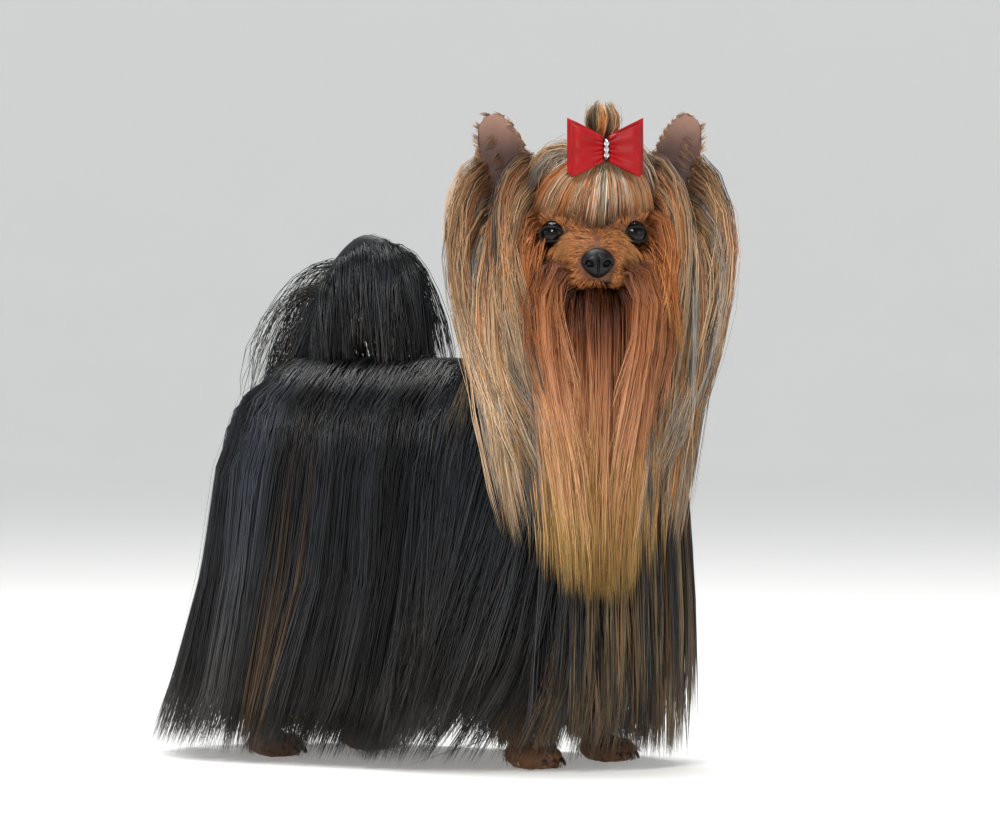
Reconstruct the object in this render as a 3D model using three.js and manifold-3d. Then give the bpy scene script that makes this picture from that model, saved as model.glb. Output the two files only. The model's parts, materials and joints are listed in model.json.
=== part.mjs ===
// A Yorkshire terrier in full show coat, standing, with its head turned to its right and a ribbon bow on its
// topknot. Millimetres. +X is the way the body faces, +Y its left side and +Z up, and the origin is under the
// middle of the box.
import * as THREE from "three";
import { mergeVertices } from "three/addons/utils/BufferGeometryUtils.js";
import Module from "manifold-3d";

const wasm = await Module();
wasm.setup();

// Driving dimensions
const GAP = 0.3; // clearance between neighbouring nodes
const BACK_HEIGHT = 212; // skin of the back over the floor
const RIB_LEVEL = 150; // height at which the trunk is widest
const RIB_HALF = 45; // half width of the trunk
const SPINE_FRONT = 58; // x of the withers, where the back rounds down to the chest
const SPINE_REAR = -80; // x of the croup, where the back rounds down to the rump
const BACK_COAT = 12; // depth of the coat on the back
const SIDE_COAT = 22; // depth of the coat on the flank
const HEM_FLARE = 22; // how much further out the coat's hem stands
const HEM_SWEEP = 20; // how far the hem drifts to the rear
const HEM_HEIGHT = 4; // tips over the floor
const CORE_LAYER = 0.45; // share of the coat's depth that the trunk's core fills
const CORE_BOTTOM = 84;
const HEAD_AT = new THREE.Vector3(90, -5, 286); // middle of the braincase
const HEAD_YAW = THREE.MathUtils.degToRad(-51.6);
const SKULL = { long: 38, wide: 35, high: 28 }; // half sizes of the braincase
const EYE = { radius: 8, ahead: 22.5, aside: 20.5, up: -2 };
const NOSE = { ahead: 53, up: -17, half: 9, high: 7.5, deep: 7 };
const EAR = { ahead: -6, aside: 31, up: 18, height: 50, half: 15, wall: 2.4, lean: 0.4 };
const NECK = { foot: new THREE.Vector3(52, 0, 176), top: new THREE.Vector3(84, -3, 268), half: 30 };
const TIE = { ahead: 17, aside: 5, up: 40 }; // where the forehead hair is gathered, in the head's frame
const TAIL_HALF = 8;
const UP = new THREE.Vector3(0, 0, 1);
const SIDES = [-1, 1];

// Small helpers
const at = (x, y, z) => new THREE.Vector3(x, y, z);
const along = (a, b, t) => a + (b - a) * t;
const clamp01 = (t) => Math.min(1, Math.max(0, t));
const steps = (count) => Array.from({ length: count }, (_, i) => i);
const settle = (distance, length) => length * (1 - Math.exp(-distance / length));

// A seeded source of numbers from -1 to 1, so that the locks vary alike in every run.
function seeded(seed) {
  let state = seed;
  return () => {
    state = (state * 1664525 + 1013904223) % 4294967296;
    return (state / 4294967296) * 2 - 1;
  };
}

// A point given ahead of, beside and above the middle of the braincase.
function onHead(ahead, aside, up) {
  return at(ahead, aside, up).applyAxisAngle(UP, HEAD_YAW).add(HEAD_AT);
}
const headWay = (ahead, aside, up) => at(ahead, aside, up).applyAxisAngle(UP, HEAD_YAW).normalize();

// A geometry's merged triangles as a solid, turned round if its faces point inwards.
function solid(geometry) {
  geometry.deleteAttribute("normal");
  geometry.deleteAttribute("uv");
  const merged = mergeVertices(geometry, 1e-4);
  const index = merged.index.array;
  const kept = [];
  for (let i = 0; i < index.length; i += 3) {
    const [a, b, c] = index.slice(i, i + 3);
    if (a !== b && b !== c && a !== c) kept.push(a, b, c);
  }
  const make = (triangles) =>
    new wasm.Manifold(
      new wasm.Mesh({
        numProp: 3,
        vertProperties: new Float32Array(merged.attributes.position.array),
        triVerts: new Uint32Array(triangles),
      }),
    );
  const first = make(kept);
  return first.volume() > 0 ? first : make(kept.reverse());
}

const joined = (solids) => wasm.Manifold.union(solids);

// The largest closed surface of a solid, which fills sealed hollows and drops loose scraps.
function largest(body) {
  return body.decompose().reduce((best, next) => (next.volume() > best.volume() ? next : best));
}

// A closed body: a sphere whose vertices are carried to place(t, angle), so that its poles close the ends.
function form(sides, rows, place) {
  const geometry = new THREE.SphereGeometry(1, sides, rows);
  const { position, uv } = geometry.attributes;
  for (const i of steps(position.count)) {
    const point = place(1 - uv.getY(i), uv.getX(i) * 2 * Math.PI);
    position.setXYZ(i, point.x, point.y, point.z);
  }
  return solid(geometry);
}

// A closed ring: a torus whose vertices are carried to place(t, angle), where t goes once round it.
function ring(sides, rows, place) {
  const geometry = new THREE.TorusGeometry(1, 0.5, sides, rows);
  const { position, uv } = geometry.attributes;
  for (const i of steps(position.count)) {
    const point = place(uv.getX(i) % 1, (uv.getY(i) % 1) * 2 * Math.PI);
    position.setXYZ(i, point.x, point.y, point.z);
  }
  return solid(geometry);
}

// How far a form has opened between its closed ends at t = 0 and t = 1; a higher power makes blunter ends.
const bulge = (t, power = 2) => Math.sqrt(Math.max(0, 1 - Math.abs(2 * t - 1) ** power));

function ellipsoid(centre, axes, radii, sides, rows) {
  return form(sides, rows, (t, angle) =>
    centre
      .clone()
      .addScaledVector(axes[0], radii[0] * Math.cos(Math.PI * t))
      .addScaledVector(axes[1], radii[1] * Math.sin(Math.PI * t) * Math.cos(angle))
      .addScaledVector(axes[2], radii[2] * Math.sin(Math.PI * t) * Math.sin(angle)),
  );
}

// A round-ended tube along a smooth curve. section(t) gives its half width and half height, and hint its
// upper side.
function tube(points, section, sides, rows, hint = UP) {
  const curve = new THREE.CatmullRomCurve3(points);
  return form(sides, rows, (t, angle) => {
    const across = hint.clone().cross(curve.getTangent(t)).normalize();
    const over = curve.getTangent(t).cross(across);
    const [half, high] = section(t);
    return curve
      .getPoint(t)
      .addScaledVector(across, half * Math.cos(angle))
      .addScaledVector(over, high * Math.sin(angle));
  });
}

// A tapered lock along path(t), flat below and ridged above, widest in its root third and sharp at its tip.
// out(t) is its upper side. A grown lock reaches further at its thin edges and its twists, to clear them too.
function lock(path, out, { width, thick = 3, rows = 6, grow = 0 }) {
  return form(3, rows, (t, angle) => {
    const share = grow ? along(-0.006, 1.006, t) : t;
    const ahead = path(share + 0.02).sub(path(share - 0.02)).normalize();
    const across = ahead.clone().cross(out(share)).normalize();
    const over = across.clone().cross(ahead);
    const open = Math.sin(Math.PI * t ** 0.6) ** 0.8;
    const edge = t > 0 && t < 1 ? grow : 0;
    return path(share)
      .addScaledVector(across, (width * 0.58 * open + 15 * edge) * Math.sin(angle))
      .addScaledVector(over, (thick * 0.5 * open + 4 * edge) * Math.cos(angle));
  });
}

// The trunk and its coat are one bell: an outline round the spine, whose distance from it grows from the
// parting down. layer is 0 on the skin and 1 on the outside of the coat, and over is a distance outside that.
const bellTop = (layer) => BACK_HEIGHT + BACK_COAT * layer;
const bellHalf = (layer) => RIB_HALF + SIDE_COAT * layer;
function bellRadius(z, layer, over = 0) {
  const top = bellTop(layer) + over;
  const half = bellHalf(layer) + over;
  if (z >= top) return 0;
  if (z > RIB_LEVEL) return half * Math.sqrt(1 - ((z - RIB_LEVEL) / (top - RIB_LEVEL)) ** 2);
  return half + HEM_FLARE * layer * ((RIB_LEVEL - z) / RIB_LEVEL) ** 1.3;
}

// Where a share p of the way round one side of the bell starts on the spine, and which way it looks. p is 0
// at the front and 1 at the rear, and the two ends fan out from the ends of the spine.
const FAN = 0.24;
function stand(p, side) {
  const turn = p < FAN ? p / FAN : p > 1 - FAN ? 1 + (p - 1 + FAN) / FAN : 1;
  const x = along(SPINE_FRONT, SPINE_REAR, clamp01((p - FAN) / (1 - 2 * FAN)));
  const angle = (turn * Math.PI) / 2;
  return { x, out: at(Math.cos(angle), side * Math.sin(angle), 0) };
}

// How far the coat has drifted to the rear at a height.
const swept = (z) => HEM_SWEEP * clamp01((RIB_LEVEL - z) / (RIB_LEVEL - HEM_HEIGHT)) ** 2;

// A point of the bell: fall 0 is the parting, 1 the level of the ribs, and 2 the hem.
function onBell(p, side, fall, layer, over = 0) {
  const { x, out } = stand(p, side);
  const bend = Math.min(1, fall) * (Math.PI / 2);
  const drop = Math.max(0, fall - 1);
  const z = along(RIB_LEVEL + (bellTop(layer) + over - RIB_LEVEL) * Math.cos(bend), HEM_HEIGHT, drop);
  const radius = fall < 1 ? (bellHalf(layer) + over) * Math.sin(bend) : bellRadius(z, layer, over);
  return at(x - swept(z), 0, z).addScaledVector(out, radius);
}

// Moves a point that is inside the bell or the neck out to a margin over the coat: along way, or else straight
// out.
function drape(point, margin, way) {
  const neck = NECK.top.clone().sub(NECK.foot);
  for (const turn of steps(way ? 14 : 1)) {
    const back = swept(point.z);
    const x = THREE.MathUtils.clamp(point.x + back, SPINE_REAR, SPINE_FRONT) - back;
    const out = at(point.x - x, point.y, 0);
    const inBell = bellRadius(point.z, 1, margin) - out.length();
    if (inBell > 0) point.addScaledVector(way ?? out.normalize(), inBell);
    const share = clamp01(point.clone().sub(NECK.foot).dot(neck) / neck.lengthSq());
    const away = point.clone().sub(NECK.foot).addScaledVector(neck, -share);
    const inNeck = NECK.half + margin - away.length();
    if (inNeck > 0) point.addScaledVector(way ?? away.normalize(), inNeck);
  }
  return point;
}

// A hair that leaves its root one way, settles within a distance and then hangs down, clear of the body. drift
// moves its tip, and grows with the square of the length.
function hang(root, way, { reach, length, sunk = 4, margin = 0, push, drift = at(0, 0, 0) }) {
  const start = root.clone().addScaledVector(way, -sunk);
  return (t) => {
    const gone = settle(t * length, reach);
    const fallen = t * length - gone;
    const point = start.clone().addScaledVector(way, gone).addScaledVector(UP, -fallen);
    point.addScaledVector(drift, t * t);
    return t > 0.12 && margin > 0 ? drape(point, margin, push) : point;
  };
}

// Trunk with its body coat: a smooth form out to a layer, and locks over it
function trunkForm(layer, grow = 0) {
  const height = bellTop(layer) - CORE_BOTTOM;
  return form(22, 10, (t, angle) => {
    const z = bellTop(layer) - height * (1 - Math.cos(Math.PI * t)) * 0.5;
    const side = Math.sin(angle) < 0 ? -1 : 1;
    const p = Math.acos(THREE.MathUtils.clamp(Math.cos(angle), -1, 1)) / Math.PI;
    const { x, out } = stand(p, side);
    const ends = t > 0 && t < 1 ? 1 : 0;
    const closing = t > 0.5 ? Math.sin(Math.PI * t) ** 0.35 : 1;
    const radius = (bellRadius(z, layer) * closing + grow) * ends;
    return at(x * ends, 0, z + grow * Math.cos(Math.PI * t)).addScaledVector(out, radius);
  });
}
const trunkCore = (grow = 0) => trunkForm(CORE_LAYER, grow);

const STAGGER = 2.8; // how much lower every other lock of a tier lies
const COAT_TIERS = [
  { count: 14, from: 0.05, layer: 1, width: 33, seed: 3 },
  { count: 7, from: 0.9, layer: 0.68, width: 43, seed: 5 },
];
function coatLocks(grow = 0) {
  const locks = [];
  for (const side of SIDES) {
    for (const { count, from, layer, width, seed } of COAT_TIERS) {
      const vary = seeded(seed);
      for (const i of steps(count)) {
        const p = clamp01((i + 0.3) / (count - 0.4) + 0.006 * vary());
        const end = 1.97 + 0.03 * vary();
        const wave = 0.008 * vary();
        const path = (t) => {
          const lift = 1 - 1.25 * Math.exp(-9 * t);
          const over = -STAGGER * (i % 2) * lift - 2.2;
          return onBell(clamp01(p + wave * Math.sin(5 * t)), side, along(from, end, t), layer * lift, over);
        };
        locks.push(lock(path, () => stand(p, side).out, { width, grow }));
      }
    }
  }
  return joined(locks);
}

// Neck with the mane that parts on the nape and falls over the shoulders and the chest
function neckCore(grow = 0) {
  const { foot, top, half } = NECK;
  const points = [foot.clone().add(at(-8, 0, -16)), foot, top, top.clone().add(at(3, -1, 10))];
  return tube(points, (t) => [(half + grow) * bulge(t, 6), (half + grow) * bulge(t, 6)], 12, 6, at(1, 0, 0));
}

function maneLocks(grow = 0) {
  const vary = seeded(11);
  const { foot, top, half } = NECK;
  const count = 7;
  const locks = SIDES.flatMap((side) =>
    steps(count).map((i) => {
      const bearing = side * THREE.MathUtils.degToRad(along(6, 166, (i + 0.4) / count));
      const out = at(Math.cos(bearing), Math.sin(bearing), 0);
      const root = foot.clone().lerp(top, 0.72).addScaledVector(out, half - 4);
      const way = out.clone().addScaledVector(UP, -0.3).normalize();
      const margin = along(9, 8, i / count) - STAGGER * (i % 2);
      const fall = { reach: 16 + 2 * vary(), length: 208 + 10 * vary(), margin };
      return lock(hang(root, way, fall), () => out, { width: 34, grow });
    }),
  );
  return joined(locks);
}

// Head: braincase, muzzle with its lips, jaw and lids, less the sockets, the line of the mouth and the nose's
// seat
const headAxes = () => [headWay(1, 0, 0), headWay(0, 1, 0), headWay(0, 0, 1)];
const eyeAt = (side) => onHead(EYE.ahead, side * EYE.aside, EYE.up);
const gaze = (side) => headWay(0.93, side * 0.37, 0.02);

function eyeball(side, grow = 0) {
  const way = gaze(side);
  const across = UP.clone().cross(way).normalize();
  const size = EYE.radius + grow;
  return ellipsoid(eyeAt(side), [way, across, way.clone().cross(across)], [size, size, size], 10, 8);
}

function lids(side) {
  const rim = new THREE.TorusGeometry(9, 2, 4, 12);
  rim.scale(1, 0.8, 1);
  const way = gaze(side);
  rim.lookAt(way);
  const middle = eyeAt(side).addScaledVector(way, 2.8);
  rim.translate(middle.x, middle.y, middle.z);
  return solid(rim);
}

function noseForm(grow = 0) {
  const middle = onHead(NOSE.ahead, 0, NOSE.up);
  const [ahead, aside, up] = headAxes();
  const wedge = form(12, 7, (t, angle) => {
    const open = Math.sin(Math.PI * t);
    const narrow = 1 - 0.3 * Math.max(0, -Math.sin(angle));
    return middle
      .clone()
      .addScaledVector(ahead, (NOSE.deep + grow) * Math.cos(Math.PI * t))
      .addScaledVector(aside, (NOSE.half + grow) * open ** 0.8 * narrow * Math.cos(angle))
      .addScaledVector(up, (NOSE.high + grow) * open ** 0.8 * Math.sin(angle));
  });
  if (grow) return wedge;
  const onNose = ([f, l, u]) => onHead(NOSE.ahead + f, l, NOSE.up + u);
  const nostrils = SIDES.map((side) =>
    tube(
      [[9, side * 4.2, -0.5], [3.5, side * 4, 0], [-1, side * 3, 0.5]].map(onNose),
      (t) => [2.5 * bulge(t), 1.9 * bulge(t)],
      6,
      5,
    ),
  );
  const philtrum = tube(
    [[8, 0, -8], [7, 0, -2]].map(onNose),
    (t) => [0.7 * bulge(t), 2.4 * bulge(t)],
    6,
    6,
    ahead,
  );
  return largest(wedge.subtract(joined([...nostrils, philtrum])));
}

function headCore(grow = 0) {
  const axes = headAxes();
  const sizes = [SKULL.long + grow, SKULL.wide + grow, SKULL.high + grow];
  const skull = ellipsoid(onHead(-4, 0, 0), axes, sizes, 16, 10);
  const muzzle = tube(
    [onHead(4, 0, -10), onHead(28, 0, -14), onHead(41, 0, -17), onHead(52, 0, -19)],
    (t) => [(along(27, 12, t) + grow) * bulge(t, 8), (along(19, 10.5, t) + grow) * bulge(t, 8)],
    12,
    7,
  );
  const jaw = tube(
    [onHead(-4, 0, -24), onHead(20, 0, -31), onHead(44, 0, -35)],
    (t) => [(along(24, 9.5, t) + grow) * bulge(t, 8), (along(10, 6.5, t) + grow) * bulge(t, 8)],
    9,
    6,
  );
  const lips = SIDES.map((side) =>
    tube(
      [onHead(50, side * 4.5, -24), onHead(40, side * 11, -24), onHead(23, side * 18, -22)],
      (t) => [(6.2 + grow) * bulge(t, 4), (5 + grow) * bulge(t, 4)],
      6,
      5,
    ),
  );
  const body = joined([skull, muzzle, jaw, ...lips]);
  if (grow) return body;
  const sockets = SIDES.map((side) => eyeball(side, GAP));
  const mouth = form(10, 3, (t, angle) => {
    const edge = 1.15 * Math.sin(Math.PI * t);
    const up = -28.9 - 1.1 * Math.cos(Math.PI * t);
    return onHead(14 + 42 * edge * Math.cos(angle), 26 * edge * Math.sin(angle), up);
  });
  const tongueRoom = tube(
    [onHead(4, 0, -27), onHead(20, 0, -29), onHead(43, 0, -30)],
    (t) => [along(17, 7, t) * bulge(t, 8), 4 * bulge(t, 8)],
    8,
    6,
  );
  return body
    .add(joined(SIDES.map(lids)))
    .subtract(mouth)
    .add(tongueRoom)
    .subtract(joined([...sockets, noseForm(GAP)]));
}

// Hair of the face: each row is a fringe from its first root to its last, in the head's frame. fall is its
// reach, its length and the share that its tips draw together.
const FACE_ROWS = [
  // moustache
  { count: 2, first: [44, 10, -20], last: [25, 20, -20], way: [0.35, 0.9, -0.1], fall: [13, 176, 0.55] },
  // cheeks
  { count: 2, first: [14, 28, -14], last: [-8, 32, -8], way: [0.2, 0.9, -0.1], fall: [11, 190, 0.3] },
  // beard
  { count: 1, first: [46, 6, -36], last: [46, 6, -36], way: [0.8, 0.3, -0.5], fall: [12, 152, 0.3] },
  // nape
  { count: 2, first: [-22, 28, -2], last: [-37, 11, 2], way: [-0.6, 0.6, 0.2], fall: [10, 96, 0] },
];
function faceLocks(grow = 0) {
  const locks = [];
  const vary = seeded(23);
  for (const { count, first, last, way, fall } of FACE_ROWS) {
    const [reach, length, narrow] = fall;
    for (const i of steps(count)) {
      for (const side of SIDES) {
        const root = at(...first).lerp(at(...last), i / Math.max(1, count - 1));
        const out = headWay(way[0], side * way[1], way[2]);
        const path = hang(onHead(root.x, side * root.y, root.z), out, {
          reach: reach + 3 * vary(),
          length: length + 10 * vary(),
          margin: 16 - STAGGER * (i % 2),
          push: way[0] > 0 ? headWay(1, 0, 0) : undefined,
          drift: headWay(0, -side, 0).multiplyScalar(narrow * (root.y + reach)),
        });
        const flat = headWay(way[0] + 0.4, side * way[1], 0);
        locks.push(lock(path, () => flat, { width: 23, grow }));
      }
    }
  }
  return joined(locks);
}

// Hair combed up from the brow, and from the back of the head between the ears, to the tie
function crownLocks(grow = 0) {
  const tie = onHead(TIE.ahead, TIE.aside, TIE.up);
  const bearings = [-1.2, -0.72, -0.24, 0.24, 0.72, 1.2, 2.7, 3.58];
  return joined(
    bearings.map((bearing) => {
      const foot = onHead(-4 + 36 * Math.cos(bearing), 31 * Math.sin(bearing), 6 + 4 * Math.cos(bearing));
      const wide = Math.abs(Math.sin(bearing)) ** 3;
      const crest = onHead(3 + 22 * Math.cos(bearing), 27 * Math.sin(bearing) + TIE.aside, 28 + 19 * wide);
      const curve = new THREE.QuadraticBezierCurve3(foot, crest, tie);
      const out = headWay(Math.cos(bearing), Math.sin(bearing), 0.6);
      return lock((t) => curve.getPoint(t), () => out, { width: 17, rows: 5, grow });
    }),
  );
}

// Ear: a cup with its hollow to the front, and the fringe that hangs from its edges and its back
function earFrame(side) {
  const rise = headWay(0, side * EAR.lean, 0.92);
  const face = headWay(0.9, side * 0.32, -0.1);
  const across = face.clone().cross(rise).normalize();
  return { rise, face, across, foot: onHead(EAR.ahead, side * EAR.aside, EAR.up - 8) };
}
// A point of the cup: t runs from its foot to its tip, a from its right edge at -1 to its left one at 1, and
// lift is 1 on the front of the wall and -1 on its back.
function onEar(side, t, a, lift, grow = 0) {
  const { rise, face, across, foot } = earFrame(side);
  const half = (EAR.half * (1 - 0.35 * t) + 3 * grow) * bulge(t, 3.4);
  const depth = 7 * a * a * bulge(t) * (1 - 0.4 * t);
  return foot
    .addScaledVector(rise, t * (EAR.height + 8) + grow * (2 * t - 1))
    .addScaledVector(across, a * half)
    .addScaledVector(face, depth + (EAR.wall / 2 + grow) * lift * bulge(t, 6));
}
const earCup = (side, grow = 0) =>
  form(10, 7, (t, angle) => onEar(side, t, Math.cos(angle), Math.sin(angle), grow));

// edge is 1 on the ear's outer edge, way is ahead, aside and up, and drift is how far the tips move inwards.
const EAR_FRINGES = [
  { count: 3, edge: 0.95, low: 0.2, high: 0.6, way: [0.15, 0.72, -0.3], reach: 48, length: 176, drift: 30 },
  { count: 2, edge: 0.8, low: 0.12, high: 0.34, way: [0.45, 0.75, -0.1], reach: 28, length: 205, drift: 14 },
  { count: 2, edge: 0.3, low: 0.3, high: 0.6, way: [-0.5, 0.75, -0.1], reach: 44, length: 170, drift: 24 },
];
function earLocks(side, grow = 0) {
  const locks = [];
  const vary = seeded(31 + side);
  for (const { count, edge, low, high, way, reach, length, drift } of EAR_FRINGES) {
    for (const i of steps(count)) {
      const root = onEar(side, along(low, high, i / (count - 1)), side * edge, 0);
      const path = hang(root, headWay(way[0], side * way[1], way[2]), {
        reach: reach + vary(),
        length: length + 12 * vary(),
        sunk: 2,
        margin: 22 - STAGGER * (i % 2),
        push: headWay(1, 0, 0),
        drift: headWay(0, -side, 0).multiplyScalar(drift),
      });
      locks.push(lock(path, () => headWay(way[0] + 0.7, side * way[1], 0), { width: 23, rows: 5, grow }));
    }
  }
  return joined(locks);
}

// Topknot: the tied hair, and the tuft that stands over the tie
function topknotForm(grow = 0) {
  const stalk = tube(
    [[0, -2], [-2, 8], [-5, 22]].map(([f, u]) => onHead(TIE.ahead + f, TIE.aside, TIE.up + u)),
    (t) => [(along(3.6, 7, t * t) + grow) * bulge(t, 5), (along(3.6, 7, t * t) + grow) * bulge(t, 5)],
    6,
    6,
    headWay(1, 0, 0),
  );
  const vary = seeded(41);
  const count = 5;
  const sprays = steps(count).map((i) => {
    const bearing = (i / count) * 2 * Math.PI;
    const out = headWay(Math.cos(bearing), Math.sin(bearing), 0.05);
    const root = onHead(TIE.ahead - 3, TIE.aside, TIE.up + 10);
    const top = root.clone().addScaledVector(out, 6).add(at(0, 0, 20 + 4 * vary()));
    const tip = root.clone().addScaledVector(out, 14 + 3 * vary()).add(at(0, 0, 15 + 5 * vary()));
    const curve = new THREE.QuadraticBezierCurve3(root, top, tip);
    return lock((t) => curve.getPoint(t), () => out, { width: 15, rows: 4, grow });
  });
  return joined([stalk, ...sprays]);
}

// Bow: on each side two open ribbon loops, pinched at the band that holds them
const BOW = { ahead: TIE.ahead + 13, up: TIE.up + 3, reach: 20, height: 31, ribbon: 0.9, band: 3.2 };
const onBow = (ahead, aside, up) => onHead(BOW.ahead + ahead, TIE.aside + aside, BOW.up + up);
function ribbonLoop(side, { reach, height, back, depth }, grow = 0) {
  return ring(4, 11, (t, angle) => {
    const out = 1.6 + (reach - 1.6) * Math.sin(Math.PI * t) ** 0.8;
    const bow = depth * Math.sin(2 * Math.PI * t) * (0.45 + 0.55 * Math.sin(Math.PI * t));
    const inside = Math.sign(Math.cos(angle + Math.PI / 4)) * (BOW.ribbon / 2 + grow);
    const half = (along(0.36, 1, clamp01(out / reach) ** 0.8) * height) / 2 + grow;
    const over = Math.sign(Math.sin(angle + Math.PI / 4)) * half;
    const swell = 1 + inside / depth;
    const aside = out + inside * Math.sin(Math.PI * t) ** 4;
    return onBow(back + bow * swell - 0.12 * out, side * aside, over);
  });
}
function bowSide(side, grow = 0) {
  const front = ribbonLoop(side, { reach: BOW.reach, height: BOW.height - 4, back: 1.6, depth: 3.6 }, grow);
  const rear = ribbonLoop(side, { reach: BOW.reach - 1.5, height: BOW.height, back: -2.6, depth: 2.6 }, grow);
  const root = ellipsoid(
    onBow(-0.4, side * 2.1, 0),
    headAxes(),
    [4.4 + grow, 1.8 + grow, 5 + grow],
    6,
    5,
  );
  return joined([front, rear, root]);
}
function bowBand(grow = 0) {
  const plate = form(8, 6, (t, angle) => {
    const open = Math.sin(Math.PI * t) ** 0.5;
    return onBow(
      0.2 + (5.4 + grow) * open * Math.cos(angle),
      (BOW.band / 2 + grow) * open * Math.sin(angle),
      (8.5 + grow) * Math.cos(Math.PI * t),
    );
  });
  if (grow) return plate;
  const stones = steps(5).map((i) =>
    ellipsoid(onBow(5.2, 0, (i - 2) * 2.7), headAxes(), [1.3, 1.2, 1.2], 5, 4),
  );
  return joined([plate, ...stones]);
}

// Tail: carried over the back, with a plume that falls to both sides and forward
const TAIL_PATH = [at(-74, 0, 200), at(-84, 0, 228), at(-82, 0, 258), at(-64, 0, 278), at(-44, 0, 276)];
function tailCore(grow = 0) {
  const half = (t) => (along(TAIL_HALF, 4.5, t) + grow) * bulge(t, 8);
  return tube(TAIL_PATH, (t) => [half(t), half(t)], 8, 9, at(0, 1, 0));
}
function tailLocks(grow = 0) {
  const bone = new THREE.CatmullRomCurve3(TAIL_PATH);
  const vary = seeded(53);
  const locks = [];
  const plume = (share, side, { aside, lift, reach, length, drift }) => {
    const way = bone.getTangent(share).add(at(0, side * aside, lift)).normalize();
    const fall = { reach: reach + vary(), length: length + 4 * vary(), drift };
    const path = hang(bone.getPoint(share), way, fall);
    locks.push(lock(path, () => at(0.4, side, 0.3), { width: 18, grow }));
  };
  for (const side of SIDES) {
    for (const i of steps(5)) {
      const share = along(0.42, 0.98, i / 4);
      const aside = along(1.5, 0.7, share);
      plume(share, side, { aside, lift: 0.3, reach: 29, length: 88, drift: at(8, side * 4, 0) });
    }
    plume(0.99, side, { aside: 0.18, lift: 0.35, reach: 30, length: 90, drift: at(4, 0, 0) });
  }
  for (const i of steps(4)) {
    const way = at(-1, 0.5 - 0.32 * i, 0.3 + 0.2 * vary()).normalize();
    const path = hang(bone.getPoint(along(0.12, 0.42, i / 3)), way, {
      reach: 52 + 10 * vary(),
      length: along(96, 150, (i % 3) / 2),
      drift: at(-6, 2, 0),
    });
    locks.push(lock(path, () => at(-1, 0.2, 0), { width: 14, grow }));
  }
  return joined(locks);
}

// Legs: each from inside the coat to a paw that stands flat on the floor
const FORELEG = { hip: [64, 33, 118], knee: [62, 34, 74], pastern: [66, 35, 30], foot: [72, 35] };
const HIND_LEG = { hip: [-70, 30, 118], knee: [-72, 34, 72] };
const LEGS = {
  leg_front_right: { side: -1, ...FORELEG },
  leg_front_left: { side: 1, ...FORELEG },
  leg_hind_right: { side: -1, ...HIND_LEG, pastern: [-104, 35, 36], foot: [-98, 36] },
  leg_hind_left: { side: 1, ...HIND_LEG, pastern: [-96, 35, 36], foot: [-88, 36] },
};
const PAW = { long: 18, half: 13.5, high: 19, toes: 4 };
function legCore({ side, hip, knee, pastern, foot }, grow = 0) {
  const place = ([x, y, z]) => at(x, side * y, z);
  const ankle = at(foot[0] - 4, side * foot[1], PAW.high / 2);
  const shank = tube(
    [place(hip), place(knee), place(pastern), ankle],
    (t) => steps(2).map(() => (along(15, 8.5, t ** 0.7) + grow) * bulge(t, 8)),
    8,
    6,
    at(1, 0, 0),
  );
  const paw = form(14, 6, (t, angle) => {
    const front = clamp01(1.6 * Math.cos(angle));
    const toe = 1 + 0.13 * front * Math.abs(Math.cos((PAW.toes / 2) * Math.PI * Math.sin(angle)));
    const open = Math.sin(Math.PI * t) ** 0.7 * toe;
    return at(
      foot[0] + (PAW.long + grow) * open * Math.cos(angle),
      side * foot[1] + (PAW.half + grow) * open * Math.sin(angle),
      Math.max(0, (PAW.high / 2) * (0.85 + 1.15 * Math.cos(Math.PI * t))),
    );
  });
  return joined([shank, paw]);
}
function legLocks({ side, knee, pastern, foot }, seed, grow = 0) {
  const vary = seeded(seed);
  const count = 4;
  return joined(
    steps(count).map((i) => {
      const bearing = ((i + 0.5) / count) * 2 * Math.PI;
      const out = at(Math.cos(bearing), Math.sin(bearing), 0);
      const middle = at(...knee).lerp(at(...pastern), 0.55);
      const root = at(middle.x, side * middle.y, middle.z).addScaledVector(out, 6);
      const toFoot = at(foot[0] - pastern[0], 0, 0);
      const length = root.z - 1 + 2 * vary();
      const path = hang(root, out, { reach: 14 + 2 * vary(), length: length + 6, drift: toFoot });
      return lock(path, () => out, { width: 23, rows: 5, grow });
    }),
  );
}

// Each node is cut clear of the grown shapes of those made before it
const grownTorso = joined([trunkCore(GAP), coatLocks(GAP)]);
const grownNeckCore = neckCore(GAP);
const grownHeadCore = headCore(GAP);
const grownNeck = joined([grownNeckCore, maneLocks(GAP)]).subtract(grownHeadCore);
const grownBow = joined([bowSide(-1, GAP), bowSide(1, GAP), bowBand(GAP)]);
const grownTopknot = topknotForm(GAP);
const grownEarCups = joined(SIDES.map((side) => earCup(side, GAP)));
const clearOfHead = joined([grownTorso, grownNeck, grownTopknot, grownEarCups]);
const grownHead = joined([grownHeadCore, faceLocks(GAP), crownLocks(GAP)]);

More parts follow.
